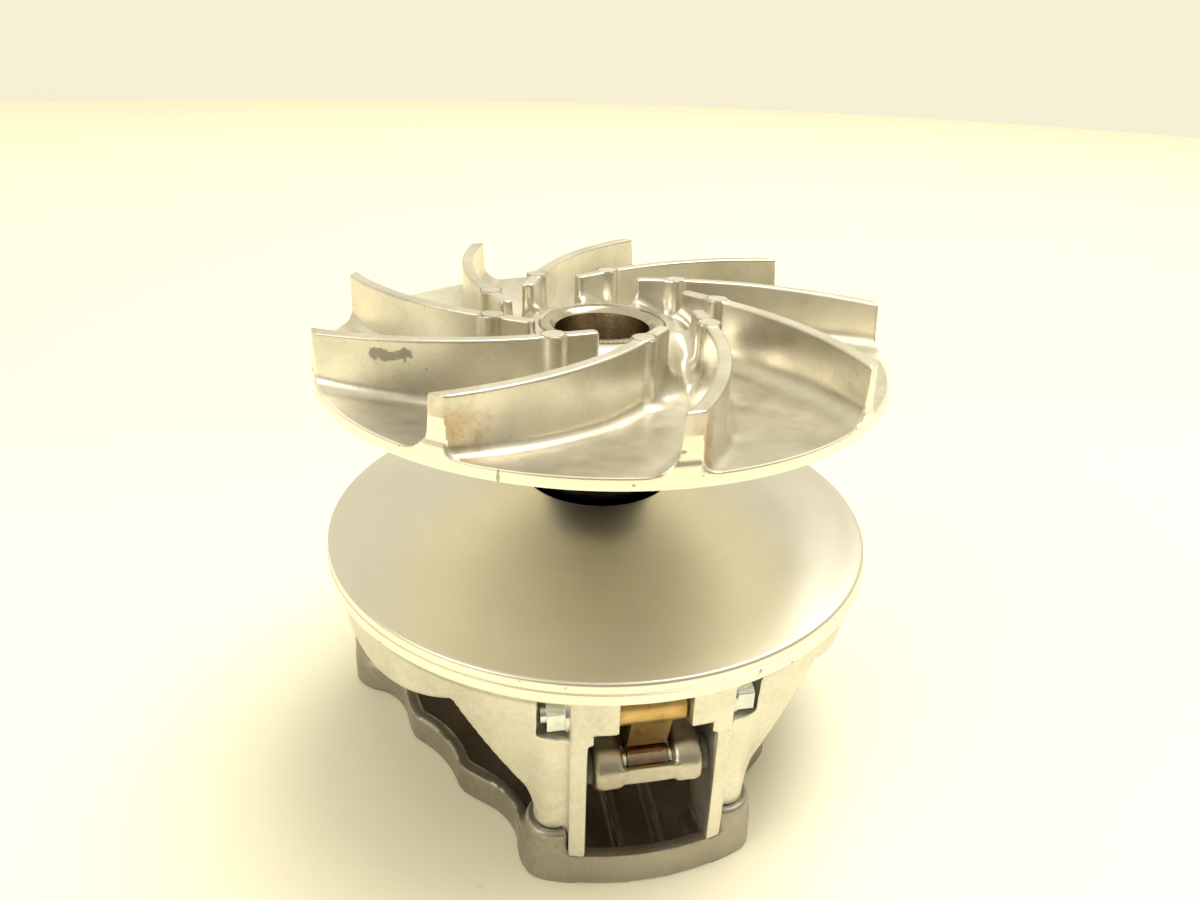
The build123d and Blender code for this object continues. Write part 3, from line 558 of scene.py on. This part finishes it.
def fin_line():
    """Azimuths of the fin's centre line over a table of radii, from its inner end out."""
    a, b = np.array(polar(*FIN_END)), np.array(polar(*FIN_BOSS))
    straight = a + (b - a) * np.linspace(0.0, 1.0, 30)[:, None]
    turns = [math.atan2(y - FIN_CENTRE[1], x - FIN_CENTRE[0]) for x, y in (b, polar(*FIN_START))]
    turns[1] = turns[0] + math.remainder(turns[1] - turns[0], 2.0 * math.pi)
    sweep = np.linspace(*turns, 200)
    arc = np.array(FIN_CENTRE) + FIN_ARC_R * np.stack([np.cos(sweep), np.sin(sweep)], axis=1)
    line = np.concatenate([straight, arc[1:]])
    radius = np.hypot(*line.T)
    azimuth = np.arctan2(line[:, 1], line[:, 0])
    return radius, azimuth


LINE_R, LINE_AZ = fin_line()


def fin_azimuth(r):
    return np.interp(r, LINE_R, LINE_AZ)


def fin_share(r):
    """A little over half the fin's width, as an angle, for the grid lines."""
    r = np.maximum(r, FIN_END[0] + 1.5)
    lean = r * (fin_azimuth(r + 0.5) - fin_azimuth(r - 0.5))
    return np.minimum(1.1 * FIN_HALF * np.sqrt(1.0 + lean**2) / r, 0.16)


def pocket_plane(r):
    return POCKET_Z + POCKET_RISE * np.maximum(r - POCKET_FLAT_R, 0.0)


def pocket_floor(r):
    """Height of the pocket floor, and of the hub that rises from it to the post."""
    return pocket_plane(r) + (HUB_Z - POCKET_Z) * ease((HUB_FOOT_R - r) / HUB_FLANK)


def fin_field(r, azimuth, z):
    """Distance to one fin, whose tip is at azimuth 0."""
    x, y = r * np.cos(azimuth), r * np.sin(azimuth)
    half = FIN_HALF + FIN_DRAFT * (FIN_TOP - z)
    blade = np.abs(np.hypot(x - FIN_CENTRE[0], y - FIN_CENTRE[1]) - FIN_ARC_R) - half
    blade = np.maximum(np.maximum(blade, FIN_BOSS[0] - r), -np.cos(azimuth - 0.5))
    (ax, ay), (bx, by) = polar(*FIN_BOSS), polar(*FIN_END)
    length = math.hypot(bx - ax, by - ay)
    ux, uy = (bx - ax) / length, (by - ay) / length
    along = (x - ax) * ux + (y - ay) * uy
    across = np.abs((y - ay) * ux - (x - ax) * uy) - half
    tail = common(across, np.maximum(along - length, -along), 1.4)
    fin = common(np.minimum(blade, tail), z - (FIN_TOP - FIN_BELOW_BOSS), 0.7)
    boss = np.hypot(x - ax, y - ay) - FIN_BOSS_R - FIN_BOSS_DRAFT * (FIN_TOP - z)
    return union(fin, common(boss, z - FIN_TOP + FIN_BOSS_SINK, 0.5), 0.8)


def fixed_field(x, y, z):
    r, azimuth = np.hypot(x, y), np.arctan2(y, x)
    half_sector = math.pi / FIN_COUNT
    offset = azimuth - fin_azimuth(r)
    offset = (offset + half_sector) % (2.0 * half_sector) - half_sector
    azimuth = offset + fin_azimuth(r)
    lean = (pocket_floor(r + 0.3) - pocket_floor(r - 0.3)) / 0.6
    floor = (z - pocket_floor(r)) / np.sqrt(1.0 + lean**2)
    fins = [fin_field(r, azimuth + 2.0 * half_sector * side, z) for side in (-1, 0, 1)]
    share = np.sign(offset) * (1.0 - np.abs(offset) / half_sector)
    solid = union(floor, np.minimum.reduce(fins), FIN_FOOT - FIN_FOOT_LEAN * share)
    step = RIM_STEP * ease((z - RIM_STEP_Z) / 1.6)
    rim = r - (FIXED_R - RIM_DRAFT * (z - FIXED_FACE_Z) - step)
    return np.maximum(common(solid, rim, 0.45), POST_HEAD_R - r)


def fixed_chart(r, v, t):
    """Grid lines that follow the fin, a third of them across it, and the pocket floor."""
    share, half_sector, edge = fin_share(r), math.pi / FIN_COUNT, 0.34
    size = np.abs(v)
    beyond = share + (half_sector - share) * (size - edge) / (1.0 - edge)
    angle = np.where(size < edge, share * size / edge, beyond)
    base = pocket_plane(r)
    return fin_azimuth(r) + np.sign(v) * angle, base + t * (FIN_TOP + 0.4 - base)


def boss_groove_shade(shape, segments=40):
    """The fine line that the casting die left round the top of each fin's boss: painted shade of its
    groove, laid as a flat dark ring.
    """
    for fin in range(FIN_COUNT):
        x, y = polar(FIN_BOSS[0], FIN_BOSS[1] + FIN_FIRST + fin * 360.0 / FIN_COUNT)
        inner, outer = (
            [shape.verts.new((x + r * math.cos(a), y + r * math.sin(a), FIN_TOP - 0.02))
             for a in np.linspace(0.0, 2.0 * math.pi, segments, endpoint=False)]
            for r in (FIN_BOSS_R - 0.45, FIN_BOSS_R - 0.2)
        )
        for face in join_rings(shape, inner, outer):
            face.material_index = 3


def fixed_sheave():
    pocket_lines = np.linspace(0.36, 1.0, 22)
    lines = (
        np.concatenate([np.linspace(21.7, 97.0, 76), np.linspace(97.5, 99.6, 7)]),
        np.concatenate([-pocket_lines[::-1], np.linspace(-0.32, 0.32, 12), pocket_lines]),
        np.concatenate([np.linspace(-0.11, 0.86, 22), np.linspace(0.9, 1.0, 6)]),
    )
    shape = casting(fixed_field, fixed_chart, lines, FIN_COUNT, FIN_FIRST)
    for face in shape.faces:
        if face.calc_center_median().xy.length > FIXED_R - 1.2:
            face.material_index = 1
    radii = np.linspace(FIXED_R - 0.5, FIXED_HUB_R + 0.5, 11)
    cone = [(r, FIXED_FACE_Z - (FIXED_R - r) * SLOPE) for r in radii]
    profile = [
        (FIXED_R, FIXED_FACE_Z + 0.5), (FIXED_R - 0.1, FIXED_FACE_Z + 0.1), *cone,
        (FIXED_HUB_R, cone[-1][1] - 0.8), (FIXED_HUB_R, FIXED_HUB_Z + 0.5),
        (FIXED_HUB_R - 0.5, FIXED_HUB_Z), (POST_HEAD_R, FIXED_HUB_Z),
    ]
    for face in turned_skin(shape, profile, twist=FIN_END[1]):
        face.material_index = 1 if face.calc_center_median().xy.length > FIXED_R - 0.7 else 2
    # Flat dark rings of painted shade where the die lines would be grooves.
    boss_groove_shade(shape)
    finishes = ("cast", "rim", "turned", "dark")
    return piece(shape, "fixed_sheave_casting", "root", "cast_aluminium", *finishes)


# ------------------------------------------------------------------ movable sheave
MOVABLE_R = 101.6
FACE_R, FACE_Z = 100.0, 85.3
PAD_R, PAD_LOW_Z = 100.5, 12.6
WINDOW_HALF, WALL = 20.0, 5.5
COLUMN_R = 7.0
COLUMN_X, COLUMN_U = polar(91.0, 18.3)
PIVOT_X, PIVOT_Z = 90.0, 68.3
EAR_IN = 11.2
RECESS_R, RECESS_END = 7.6, 35.0
PLATE_R, PLATE_Z, PLATE_FALL = 44.0, 88.2, 0.2
WINDOW_TOP, WINDOW_IN = 77.7, 60.0
RIM_LOW_Z = 77.3
SKIRT_R, SKIRT_DRAFT = 92.2, 0.115
BELLY_Z, BELLY_RISE = 57.0, 7.2
WEB_Z, WEB_FALL, WEB_START = 65.0, 1.746, 38.0
HUB_R, HUB_BORE, HUB_LOW = 33.0, 26.8, 57.5
BUSH_R, BUSH_TOP = 23.0, 72.4
EAR_R = 6.9
EAR_LOW_Z, EAR_SLOPE, EAR_COSINE = 61.4, 0.383, 0.93
THIRD = 60.0 * RAD
CHART_REACH = 38.0


def plate_under(r):
    return PLATE_Z - PLATE_FALL * (r - PLATE_R)


def across_middle(r, azimuth):
    """Distance from the plane midway between two windows."""
    return r * np.sin(THIRD - np.abs(azimuth))


def skirt_field(r, azimuth, z):
    """Drafted shell, cut below to a belly and to a sloping web beside each tower."""
    across = across_middle(r, azimuth)
    web = WEB_Z - WEB_FALL * (across - WEB_START)
    belly = BELLY_Z + BELLY_RISE * (across / 33.0) ** 2
    edge = np.maximum(21.7, np.minimum(belly, web))
    outer = SKIRT_R + SKIRT_DRAFT * (z - PAD_LOW_Z)
    shell = np.abs(r - outer + WALL / 2.0) - WALL / 2.0
    return common(shell, (edge - z) / np.where(web < edge + 0.5, 2.0, 1.1), 1.3)


def tower_field(x, u, z):
    """The flat wall beside a window, with the round column behind it."""
    inner = 66.0 + 14.0 * np.clip((60.0 - z) / 47.4, 0.0, 1.0)
    wall = common(np.abs(u - WINDOW_HALF - WALL / 2.0) - WALL / 2.0, inner - x, 1.0)
    wall = common(wall, PAD_LOW_Z - z, 0.5)
    column = np.hypot(x - COLUMN_X, u - COLUMN_U) - COLUMN_R
    return union(wall, common(column, 21.6 - z, 0.6), 2.6)


def ear_field(x, u, z):
    """Carries the flyweight's bolt, inside the window at its top."""
    boss = np.hypot(x - PIVOT_X, z - PIVOT_Z) - EAR_R
    block = np.maximum(PIVOT_X - EAR_R - x, PIVOT_Z - z)
    low = EAR_COSINE * (EAR_LOW_Z + EAR_SLOPE * (x - PIVOT_X) - z)
    side = np.minimum(np.minimum(boss, block), np.maximum(PIVOT_X - x, low))
    middle, half = (EAR_IN + WINDOW_HALF) / 2.0, (WINDOW_HALF - EAR_IN) / 2.0
    ear = common(side, np.abs(u - middle) - half, 0.7)
    step = np.maximum(np.maximum(18.7 - u, 60.5 - z), np.maximum(86.0 - x, u - WINDOW_HALF))
    return np.minimum(ear, common(step, np.hypot(x, u) - PAD_R, 0.4))


def recess_field(x, u, z):
    """Room for the bolt's head or nut outside a tower, open outwards."""
    round_part = np.hypot(x - PIVOT_X, z - PIVOT_Z) - RECESS_R
    slot = np.maximum(PIVOT_X - x, np.abs(z - PIVOT_Z) - RECESS_R)
    ends = np.maximum(WINDOW_HALF + WALL - u, u - RECESS_END)
    return np.maximum(np.minimum(round_part, slot), ends)


def movable_field(x, y, z):
    r, azimuth, u = np.hypot(x, y), np.arctan2(y, x), np.abs(y)
    under = np.maximum(plate_under(r), WINDOW_TOP)
    body = union((under - z) * 0.98, skirt_field(r, azimuth, z), 4.0)
    body = union(body, tower_field(x, u, z), 3.2)
    window = np.maximum(np.maximum(u - WINDOW_HALF, WINDOW_IN - x), z - WINDOW_TOP)
    body = union(common(body, -window, 0.7), ear_field(x, u, z), 1.2)
    body = common(body, -recess_field(x, u, z), 0.7)
    return common(body, r - PAD_R - (MOVABLE_R - PAD_R) * ease((z - RIM_LOW_Z) / 0.5), 0.45)


def side_chart(r, v):
    """Azimuth of grid line v: square to a window's plane near it, radial further off."""
    reach = np.minimum(CHART_REACH, 0.72 * r)
    limit, size = np.arcsin(reach / r), np.abs(v)
    near = np.arcsin(np.minimum(size / 0.5, 1.0) * reach / r)
    far = limit + (THIRD - limit) * (size - 0.5) / 0.5
    return np.sign(v) * np.where(size < 0.5, near, far)


def side_lines(near, far):
    """Grid lines over one third of the turn, denser near the window."""
    inner = np.linspace(0.0, 0.5, near + 1)
    outer = 0.5 + 0.5 * np.linspace(0.0, 1.0, far + 1)[1:] ** 1.15
    half = np.concatenate([inner, outer])
    return np.concatenate([-half[:0:-1], half])


def movable_chart(r, v, t):
    low = PAD_LOW_Z - 0.8
    return side_chart(r, v), low + t * (plate_under(r) + 2.4 - low)


def face_z(r):
    return FACE_Z + (FACE_R - r) * SLOPE


def movable_sheave():
    lines = (
        np.concatenate([
            np.linspace(45.0, 76.0, 24), np.linspace(76.9, 98.1, 25), np.linspace(98.6, 102.4, 7),
        ]),
        side_lines(42, 34),
        np.concatenate([np.linspace(0.0, 0.62, 33), np.linspace(0.632, 1.0, 33)]),
    )
    shape = casting(movable_field, movable_chart, lines, 3, WINDOWS["front"])
    for face in shape.faces:
        middle = face.calc_center_median()
        if middle.xy.length > PAD_R - 0.15 and middle.z > RIM_LOW_Z - 0.3:
            face.material_index = 1
    corner = [
        (FACE_R + 1.2 * math.cos(a), FACE_Z - 1.2 + 1.2 * math.sin(a))
        for a in np.linspace(0.0, 1.35, 5)
    ]
    face_line = [(r, face_z(r)) for r in np.linspace(FACE_R - 0.3, HUB_BORE + 1.2, 12)]
    profile = [
        (MOVABLE_R, 81.25), (MOVABLE_R - 0.12, 81.45), (MOVABLE_R - 0.42, 81.55),
        *corner, *face_line,
        (HUB_BORE + 0.2, face_z(HUB_BORE) - 0.9), (HUB_BORE, face_z(HUB_BORE) - 1.4),
        (HUB_BORE, BUSH_TOP), (BUSH_R, BUSH_TOP), (BUSH_R, HUB_LOW + 0.5), (BUSH_R + 0.5, HUB_LOW),
        (HUB_R - 0.5, HUB_LOW), (HUB_R, HUB_LOW + 0.5),
        (HUB_R, 82.0), (34.4, 84.9), (37.0, 86.8), (40.5, 87.9),
    ]
    for face in turned_skin(shape, profile):
        middle = face.calc_center_median()
        on_rim = middle.xy.length > MOVABLE_R - 0.6 and middle.z < FACE_Z - 1.3
        face.material_index = 1 if on_rim else 2
    finishes = ("skirt", "rim", "turned")
    return piece(
        shape, "movable_sheave_casting", "shift_assembly", "turned_aluminium", *finishes,
    )


# ------------------------------------------------------------------ cover
COVER_R, COVER_MIDDLE_R, COVER_HUB_R, COVER_BORE = 100.7, 79.0, 21.5, 17.5
COVER_TOP, COVER_FLOOR, COVER_WALL = 12.4, 3.5, 4.6
LOBE_HALF, LOBE_CORNER = 40.5, 11.0
HOLLOW_X, HOLLOW_U = polar(120.0, 60.0)
HOLLOW_R = 45.5
BOSS_R, BOSS_DRAFT, BOSS_TOP = 9.5, 0.06, top_of("cover")
RIB_START, RIB_U, RIB_HALF = 36.0, 7.0, 1.2
RIB_TOP = (RIB_START, 78.0, 98.0), (4.0, 8.0, 9.0)
BOLT_HEAD_R, BOLT_HEAD_TOP = 5.6, 6.5


def cover_plan(x, u):
    """Outline: a lobe under each tower and a hollow side between two lobes."""
    r = np.hypot(x, u)
    lobe = common(u - LOBE_HALF, r - COVER_R, LOBE_CORNER)
    hollow = HOLLOW_R - np.hypot(x - HOLLOW_X, u - HOLLOW_U)
    return common(union(lobe, r - COVER_MIDDLE_R, 9.0), hollow, 1.5)


def cover_field(x, y, z):
    """The dish, with two bosses and two ribs on each lobe and the hub in its middle."""
    r, u = np.hypot(x, y), np.abs(y)
    plan = cover_plan(x, u)
    dish = common(common(plan, z - COVER_TOP, 1.2), -z, 0.7)
    dish = common(dish, -common(plan + COVER_WALL, COVER_FLOOR - z, 2.5), 1.0)
    column = np.hypot(x - COLUMN_X, u - COLUMN_U)
    boss = np.maximum(column - BOSS_R - BOSS_DRAFT * (BOSS_TOP - z), 1.0 - z)
    boss = common(boss, z - BOSS_TOP, 1.6)
    boss = common(boss, -np.maximum(u - WINDOW_HALF - WALL - 0.3, COVER_TOP - z), 0.7)
    body = union(dish, boss, 3.2)
    body = union(body, np.maximum(r - COVER_HUB_R, z - COVER_TOP), 2.0)
    rib = common(np.abs(u - RIB_U) - RIB_HALF, z - np.interp(x, *RIB_TOP), 0.6)
    rib = np.maximum(rib, np.maximum(RIB_START - x, 1.0 - z))
    body = union(body, rib, 1.3)
    body = common(body, r - COVER_R, 0.7)
    heads = np.maximum(column - BOLT_HEAD_R, z - BOLT_HEAD_TOP)
    return np.maximum(np.maximum(body, COVER_BORE - r), -heads)


def level_chart(r, v, t):
    return side_chart(r, v), t


def cover():
    lines = (
        np.linspace(16.6, 101.6, 80),
        side_lines(36, 30),
        np.concatenate([np.linspace(-0.7, 13.4, 17), np.linspace(14.4, BOSS_TOP + 0.8, 9)]),
    )
    shape = casting(cover_field, level_chart, lines, 3, WINDOWS["front"])
    shape.normal_update()
    for face in shape.faces:
        middle = face.calc_center_median()
        if middle.xy.length > COVER_R - 0.25:
            face.material_index = 1
        elif 2.5 < middle.z < 10.0 and abs(face.normal.z) > 0.3:
            face.material_index = 2
    finishes = ("cover", "lobe", "grime")
    return piece(shape, "cover_casting", "shift_assembly", "cover_aluminium", *finishes)


# ------------------------------------------------------------------ spider
ROLLER_X, ROLLER_Z = 89.5, 43.5
SPIDER_TOP = top_of("spider")
SPIDER_HUB_R, SPIDER_LOW, SPIDER_BORE = 25.0, 43.0, 18.0
FLANGE_R, FLANGE_Z = 46.0, 50.0
ARM_MIDDLE, ARM_HALF, ARM_START = 12.8, 4.7, 34.0
BEAM_TOP = (ARM_START, 54.0, 88.5), (56.5, 56.0, 51.64)
BEAM_LOW = (ARM_START, 46.0, 79.5), (50.0, 46.0, 39.5)
EAR_NOSE_R, EAR_TIP_X, EAR_TIP_Z = 8.2, 97.7, 40.6
BAR_X, BAR_Z, BAR_REACH = 96.2, 44.1, 9.5


def spider_field(x, y, z):
    """Hub and flange, and an arm whose two ears hold the roller's pin behind a front bar."""
    r, u = np.hypot(x, y), np.abs(y)
    hub = common(r - SPIDER_HUB_R, SPIDER_LOW - z, 1.0)
    flange = common(r - FLANGE_R, FLANGE_Z - z, 1.5)
    beam = np.maximum(z - np.interp(x, *BEAM_TOP), np.interp(x, *BEAM_LOW) - z)
    beam = np.maximum(beam, np.maximum(ARM_START - x, x - ROLLER_X))
    nose = np.hypot(x - ROLLER_X, z - ROLLER_Z) - EAR_NOSE_R
    tip = np.maximum(np.maximum(ROLLER_X - x, x - EAR_TIP_X), np.maximum(EAR_TIP_Z - z, z - ROLLER_Z))
    side = np.minimum(np.minimum(beam, nose), tip)
    under = ((x - 92.5) * 3.5 - (z - 35.9) * 4.1) / 5.39    # slopes up and out under the ear
    side = np.maximum(side, np.minimum(under, 39.4 - z))
    arm = common(side, np.abs(u - ARM_MIDDLE) - ARM_HALF, 2.1)
    bar = common(np.abs(x - BAR_X) - 0.88, np.abs(z - BAR_Z) - 3.1, 0.4)
    arm = union(arm, np.maximum(bar, u - BAR_REACH), 0.8)
    body = union(union(hub, flange, 3.0), arm, 2.5)
    body = common(body, z - SPIDER_TOP + 0.04 * np.maximum(r - ARM_START, 0.0), 1.0)
    return np.maximum(body, SPIDER_BORE - r)


def spider():
    lines = (
        np.concatenate([np.linspace(17.3, 78.0, 48), np.linspace(78.8, 100.4, 32)]),
        side_lines(48, 12),
        np.linspace(34.4, SPIDER_TOP + 0.6, 32),
    )
    shape = casting(spider_field, level_chart, lines, 3, WINDOWS["front"])
    return piece(shape, "spider_casting", "root", "cast_aluminium_fine", "spider")


# ------------------------------------------------------------------ post
def post():
    """The hollow taper post: a ground ring at its top with a splined edge, and the taper."""
    segments, tooth = 336, 0.7
    top, low, head = top_of("post"), bottom_of("post"), POST_HEAD_R
    mouth, small, depth, bolt, puller = 16.7, 11.8, 101.0, 7.4, 9.0
    tail, thread, shaft, groove = 15.0, 18.0, 20.0, 18.6
    outside = [
        (puller + 1.0, low), (tail - 0.8, low), (tail, low + 0.8), (tail, 38.5),
        (thread - 0.4, 38.5), (thread, 38.9), (thread, 57.0), (shaft - 0.3, 57.0), (shaft, 57.3),
        (shaft, 97.2), (groove, 97.2), (groove, 98.4), (shaft, 98.4),
        (shaft, FIXED_HUB_Z), (head, FIXED_HUB_Z),
    ]
    inside = [
        (head - 0.8, top), (mouth + 1.9, top), (mouth + 1.7, top - 0.1), (mouth, top - 1.8),
        (small + 0.1, depth + 0.4), (small, depth), (bolt, depth), (bolt, low + 18.0),
        (puller, low + 18.0), (puller, low + 1.0),
    ]
    shape = bmesh.new()
    turns = np.arange(segments) * 2.0 * math.pi / segments
    gap = (np.arange(segments) // 2) % 2

    def ring(r, z, drops=0.0 * gap):
        return [
            shape.verts.new((r * math.cos(a), r * math.sin(a), z - drop))
            for a, drop in zip(turns, drops)
        ]

    rings_made = [ring(r, z) for r, z in outside]
    rings_made.append(ring(head, top - 0.15, tooth * gap))
    rings_made.append(ring(head - 0.7, top - 0.02, tooth * gap))
    rings_made += [ring(r, z) for r, z in inside]
    for a, b in zip(rings_made, rings_made[1:] + rings_made[:1]):
        join_rings(shape, a, b)
    return piece(shape, "post_turned", "root", "ground_steel", "steel", node_name="post")


# ------------------------------------------------------------------ spring
def spring():
    """A coil spring whose end turns lie closed and are ground flat on their seats."""
    low, high = (corner.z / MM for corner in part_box("primary_spring"))
    wire, radius, turns, closed, sides = 2.3, 28.0, 5.6, 0.8, 14
    seat, lift = 1.2, 0.9
    steps = int(turns * 72)
    shape, before, first = bmesh.new(), None, None
    for step in range(steps + 1):
        turn = turns * step / steps
        share = np.clip((turn - closed) / (turns - 2.0 * closed), 0.0, 1.0)
        off_seat = min(turn, turns - turn, closed) / closed * lift
        way = 1.0 if turn < turns / 2.0 else -1.0
        z = low + seat + off_seat * way + share * (high - low - 2.0 * seat)
        a = 2.0 * math.pi * turn
        ring = []
        for side in range(sides):
            b = 2.0 * math.pi * side / sides
            r = radius + wire * math.cos(b)
            height = min(max(z + wire * math.sin(b), low), high)
            ring.append(shape.verts.new((r * math.cos(a), r * math.sin(a), height)))
        if before is not None:
            join_rings(shape, before, ring)
        before, first = ring, first or ring
    shape.faces.new(first)
    shape.faces.new(before)
    made = piece(
        shape, "coil_spring", "root", "spring_steel", "spring",
        node_name="primary_spring", sharp=50.0,
    )
    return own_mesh(made)


# ------------------------------------------------------------------ small parts
def eased(node_name, slot, width, finish_name):
    """A CAD node's shape with its sharp edges broken by a small bevel."""
    source = frame["nodes"][node_name]
    shape = bmesh.new()
    shape.from_mesh(source.data)
    shape.transform(Matrix.Scale(1.0 / MM, 4))
    bmesh.ops.remove_doubles(shape, verts=shape.verts, dist=0.001)
    bmesh.ops.dissolve_limit(shape, angle_limit=1.0 * RAD, verts=shape.verts, edges=shape.edges)
    edges = [e for e in shape.edges if e.is_manifold and e.calc_face_angle(0.0) > 40.0 * RAD]
    bmesh.ops.bevel(
        shape, geom=edges, offset=width, segments=2, profile=0.6,
        affect="EDGES", clamp_overlap=True,
    )
    for face in shape.faces:
        face.material_index = 0
    return piece(
        shape, f"{node_name}_eased", source["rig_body"], slot, finish_name,
        node_name=node_name, sharp=30.0,
    )


# Slot, bevel width and finish of each eased piece; then the finish of each CAD piece kept plain.
EASED = {
    "roller_washers": ("ground_steel", 0.2, "zinc"),
    "spider_nut": ("dark_steel", 0.5, "dark"),
    "spider_buttons": ("black_plastic", 0.5, "plastic"),
    "bearing_outer_ring": ("black_steel", 0.5, "black"),
    "bearing_washers": ("dark_steel", 0.2, "dark"),
    "cover_bolts": ("black_steel", 0.4, "black"),
    "flyweight_bolts": ("zinc_plate", 0.35, "zinc"),
    "flyweight_nuts": ("zinc_plate", 0.35, "zinc"),
}
PLAIN = {
    "roller_pins": "steel", "bearing_needles": "steel", "bearing_snap_ring": "dark",
    "sheave_bushing": "bronze", "cover_bushing": "bronze",
}
for place_name in WINDOWS:
    EASED[f"flyweight_{place_name}"] = ("yellow_zinc", 0.5, "yellow")
    EASED[f"roller_{place_name}"] = ("ground_steel", 0.6, "roller")
    PLAIN[f"flyweight_bushing_{place_name}"] = "bronze"
    PLAIN[f"roller_bushing_{place_name}"] = "bronze"

fixed_sheave()
movable_sheave()
cover()
spider()
post()
spring()
for node_name, settings in EASED.items():
    eased(node_name, *settings)
for node_name, finish_name in PLAIN.items():
    finish(frame["nodes"][node_name], finish_name)


# ------------------------------------------------------------------ stage, light, camera
FLOOR_R = 3.0
BRIGHT_WAY = (0.1, 0.46, 0.5)               # towards the bright wall and ceiling
WARM = (1.0, 0.95, 0.84)
LAMPS = {                                   # place, target, diameter in metres, and watts
    "key": ((0.9, 0.6, 3.0), (0.0, 0.0, 0.1), 1.8, 78.0),
    "fill": ((-2.4, -1.1, 1.8), (0.0, 0.0, 0.08), 2.2, 26.0),
}


def stage_floor():
    """A wide pale table top, a little deeper in tone towards the back."""
    shape = bmesh.new()
    bmesh.ops.create_circle(shape, cap_ends=True, segments=96, radius=FLOOR_R)
    mesh = bpy.data.meshes.new("floor")
    shape.to_mesh(mesh)
    shape.free()
    floor = bpy.data.objects.new("floor", mesh)
    bpy.context.scene.collection.objects.link(floor)
    material, tree, shader = new_material("pale_table")
    place = position(tree)
    depth = node(tree, "ShaderNodeSeparateXYZ", {0: place}).outputs["Y"]
    wander = math_node(tree, "MULTIPLY", noise(tree, place, 4.0), 0.08)
    tone = ramp(tree, math_node(tree, "ADD", depth, wander), [
        (0.2, (0.95, 0.92, 0.75)), (0.36, (0.93, 0.875, 0.68)), (1.0, (0.96, 0.90, 0.70)),
    ])
    scratches = spots(tree, place, 60.0, 0.72, 0.78, 0.25)
    tree.links.new(mix(tree, scratches, tone, (0.70, 0.62, 0.44)), shader.inputs["Base Color"])
    shader.inputs["Roughness"].default_value = 0.5
    mesh.materials.append(material)


def light(name, place, target, size, power):
    data = bpy.data.lights.new(name, "AREA")
    data.shape = "DISK"
    data.size = size
    data.energy = power
    data.color = WARM
    lamp = bpy.data.objects.new(name, data)
    lamp.location = place
    lamp.rotation_mode = "QUATERNION"
    lamp.rotation_quaternion = (Vector(target) - Vector(place)).to_track_quat("-Z", "Y")
    bpy.context.scene.collection.objects.link(lamp)


def studio():
    """A bright wall and ceiling behind and above, a dimmer room on the viewer's side."""
    world = bpy.data.worlds.new("studio")
    world.use_nodes = True
    tree = world.node_tree
    background = tree.nodes["Background"]
    way = node(tree, "ShaderNodeTexCoord").outputs["Generated"]
    bright = node(tree, "ShaderNodeVectorMath", {0: way, 1: BRIGHT_WAY}, operation="DOT_PRODUCT")
    sky = ramp(tree, math_node(tree, "ADD", bright.outputs["Value"], 0.5), [
        (0.0, (0.24, 0.215, 0.16)), (0.45, (0.46, 0.42, 0.32)),
        (0.8, (0.92, 0.86, 0.66)), (1.0, (0.94, 0.88, 0.67)),
    ])
    tree.links.new(sky, background.inputs["Color"])
    background.inputs["Strength"].default_value = 1.0
    bpy.context.scene.world = world
    bpy.context.scene.view_settings.view_transform = "Standard"
    for name, settings in LAMPS.items():
        light(name, *settings)


CAMERA_PLACE = (-0.05767, -0.28599, 0.25446)
CAMERA_YAW, CAMERA_PITCH, CAMERA_ROLL = -0.0019 - 11.4 * RAD, 0.4595, -0.0307
CAMERA_LENS = 25.82


def photo_camera():
    """The photograph's view: looking down at the clutch from close by."""
    sy, cy = math.sin(-CAMERA_YAW), math.cos(CAMERA_YAW)
    sp, cp = math.sin(CAMERA_PITCH), math.cos(CAMERA_PITCH)
    forward = Vector((sy * cp, cy * cp, -sp))
    right = Vector((cy, -sy, 0.0))
    down = forward.cross(right)
    turned_right = right * math.cos(CAMERA_ROLL) + down * math.sin(CAMERA_ROLL)
    turned_down = down * math.cos(CAMERA_ROLL) - right * math.sin(CAMERA_ROLL)
    data = bpy.data.cameras.new("camera")
    data.lens = CAMERA_LENS
    data.sensor_width = 36.0
    data.clip_start = 0.01
    camera = bpy.data.objects.new("camera", data)
    axes = Matrix((turned_right, -turned_down, -forward)).transposed()
    camera.matrix_world = Matrix.Translation(CAMERA_PLACE) @ axes.to_4x4()
    bpy.context.scene.collection.objects.link(camera)
    bpy.context.scene.camera = camera


stage_floor()
studio()
photo_camera()

bpy.context.view_layer.update()
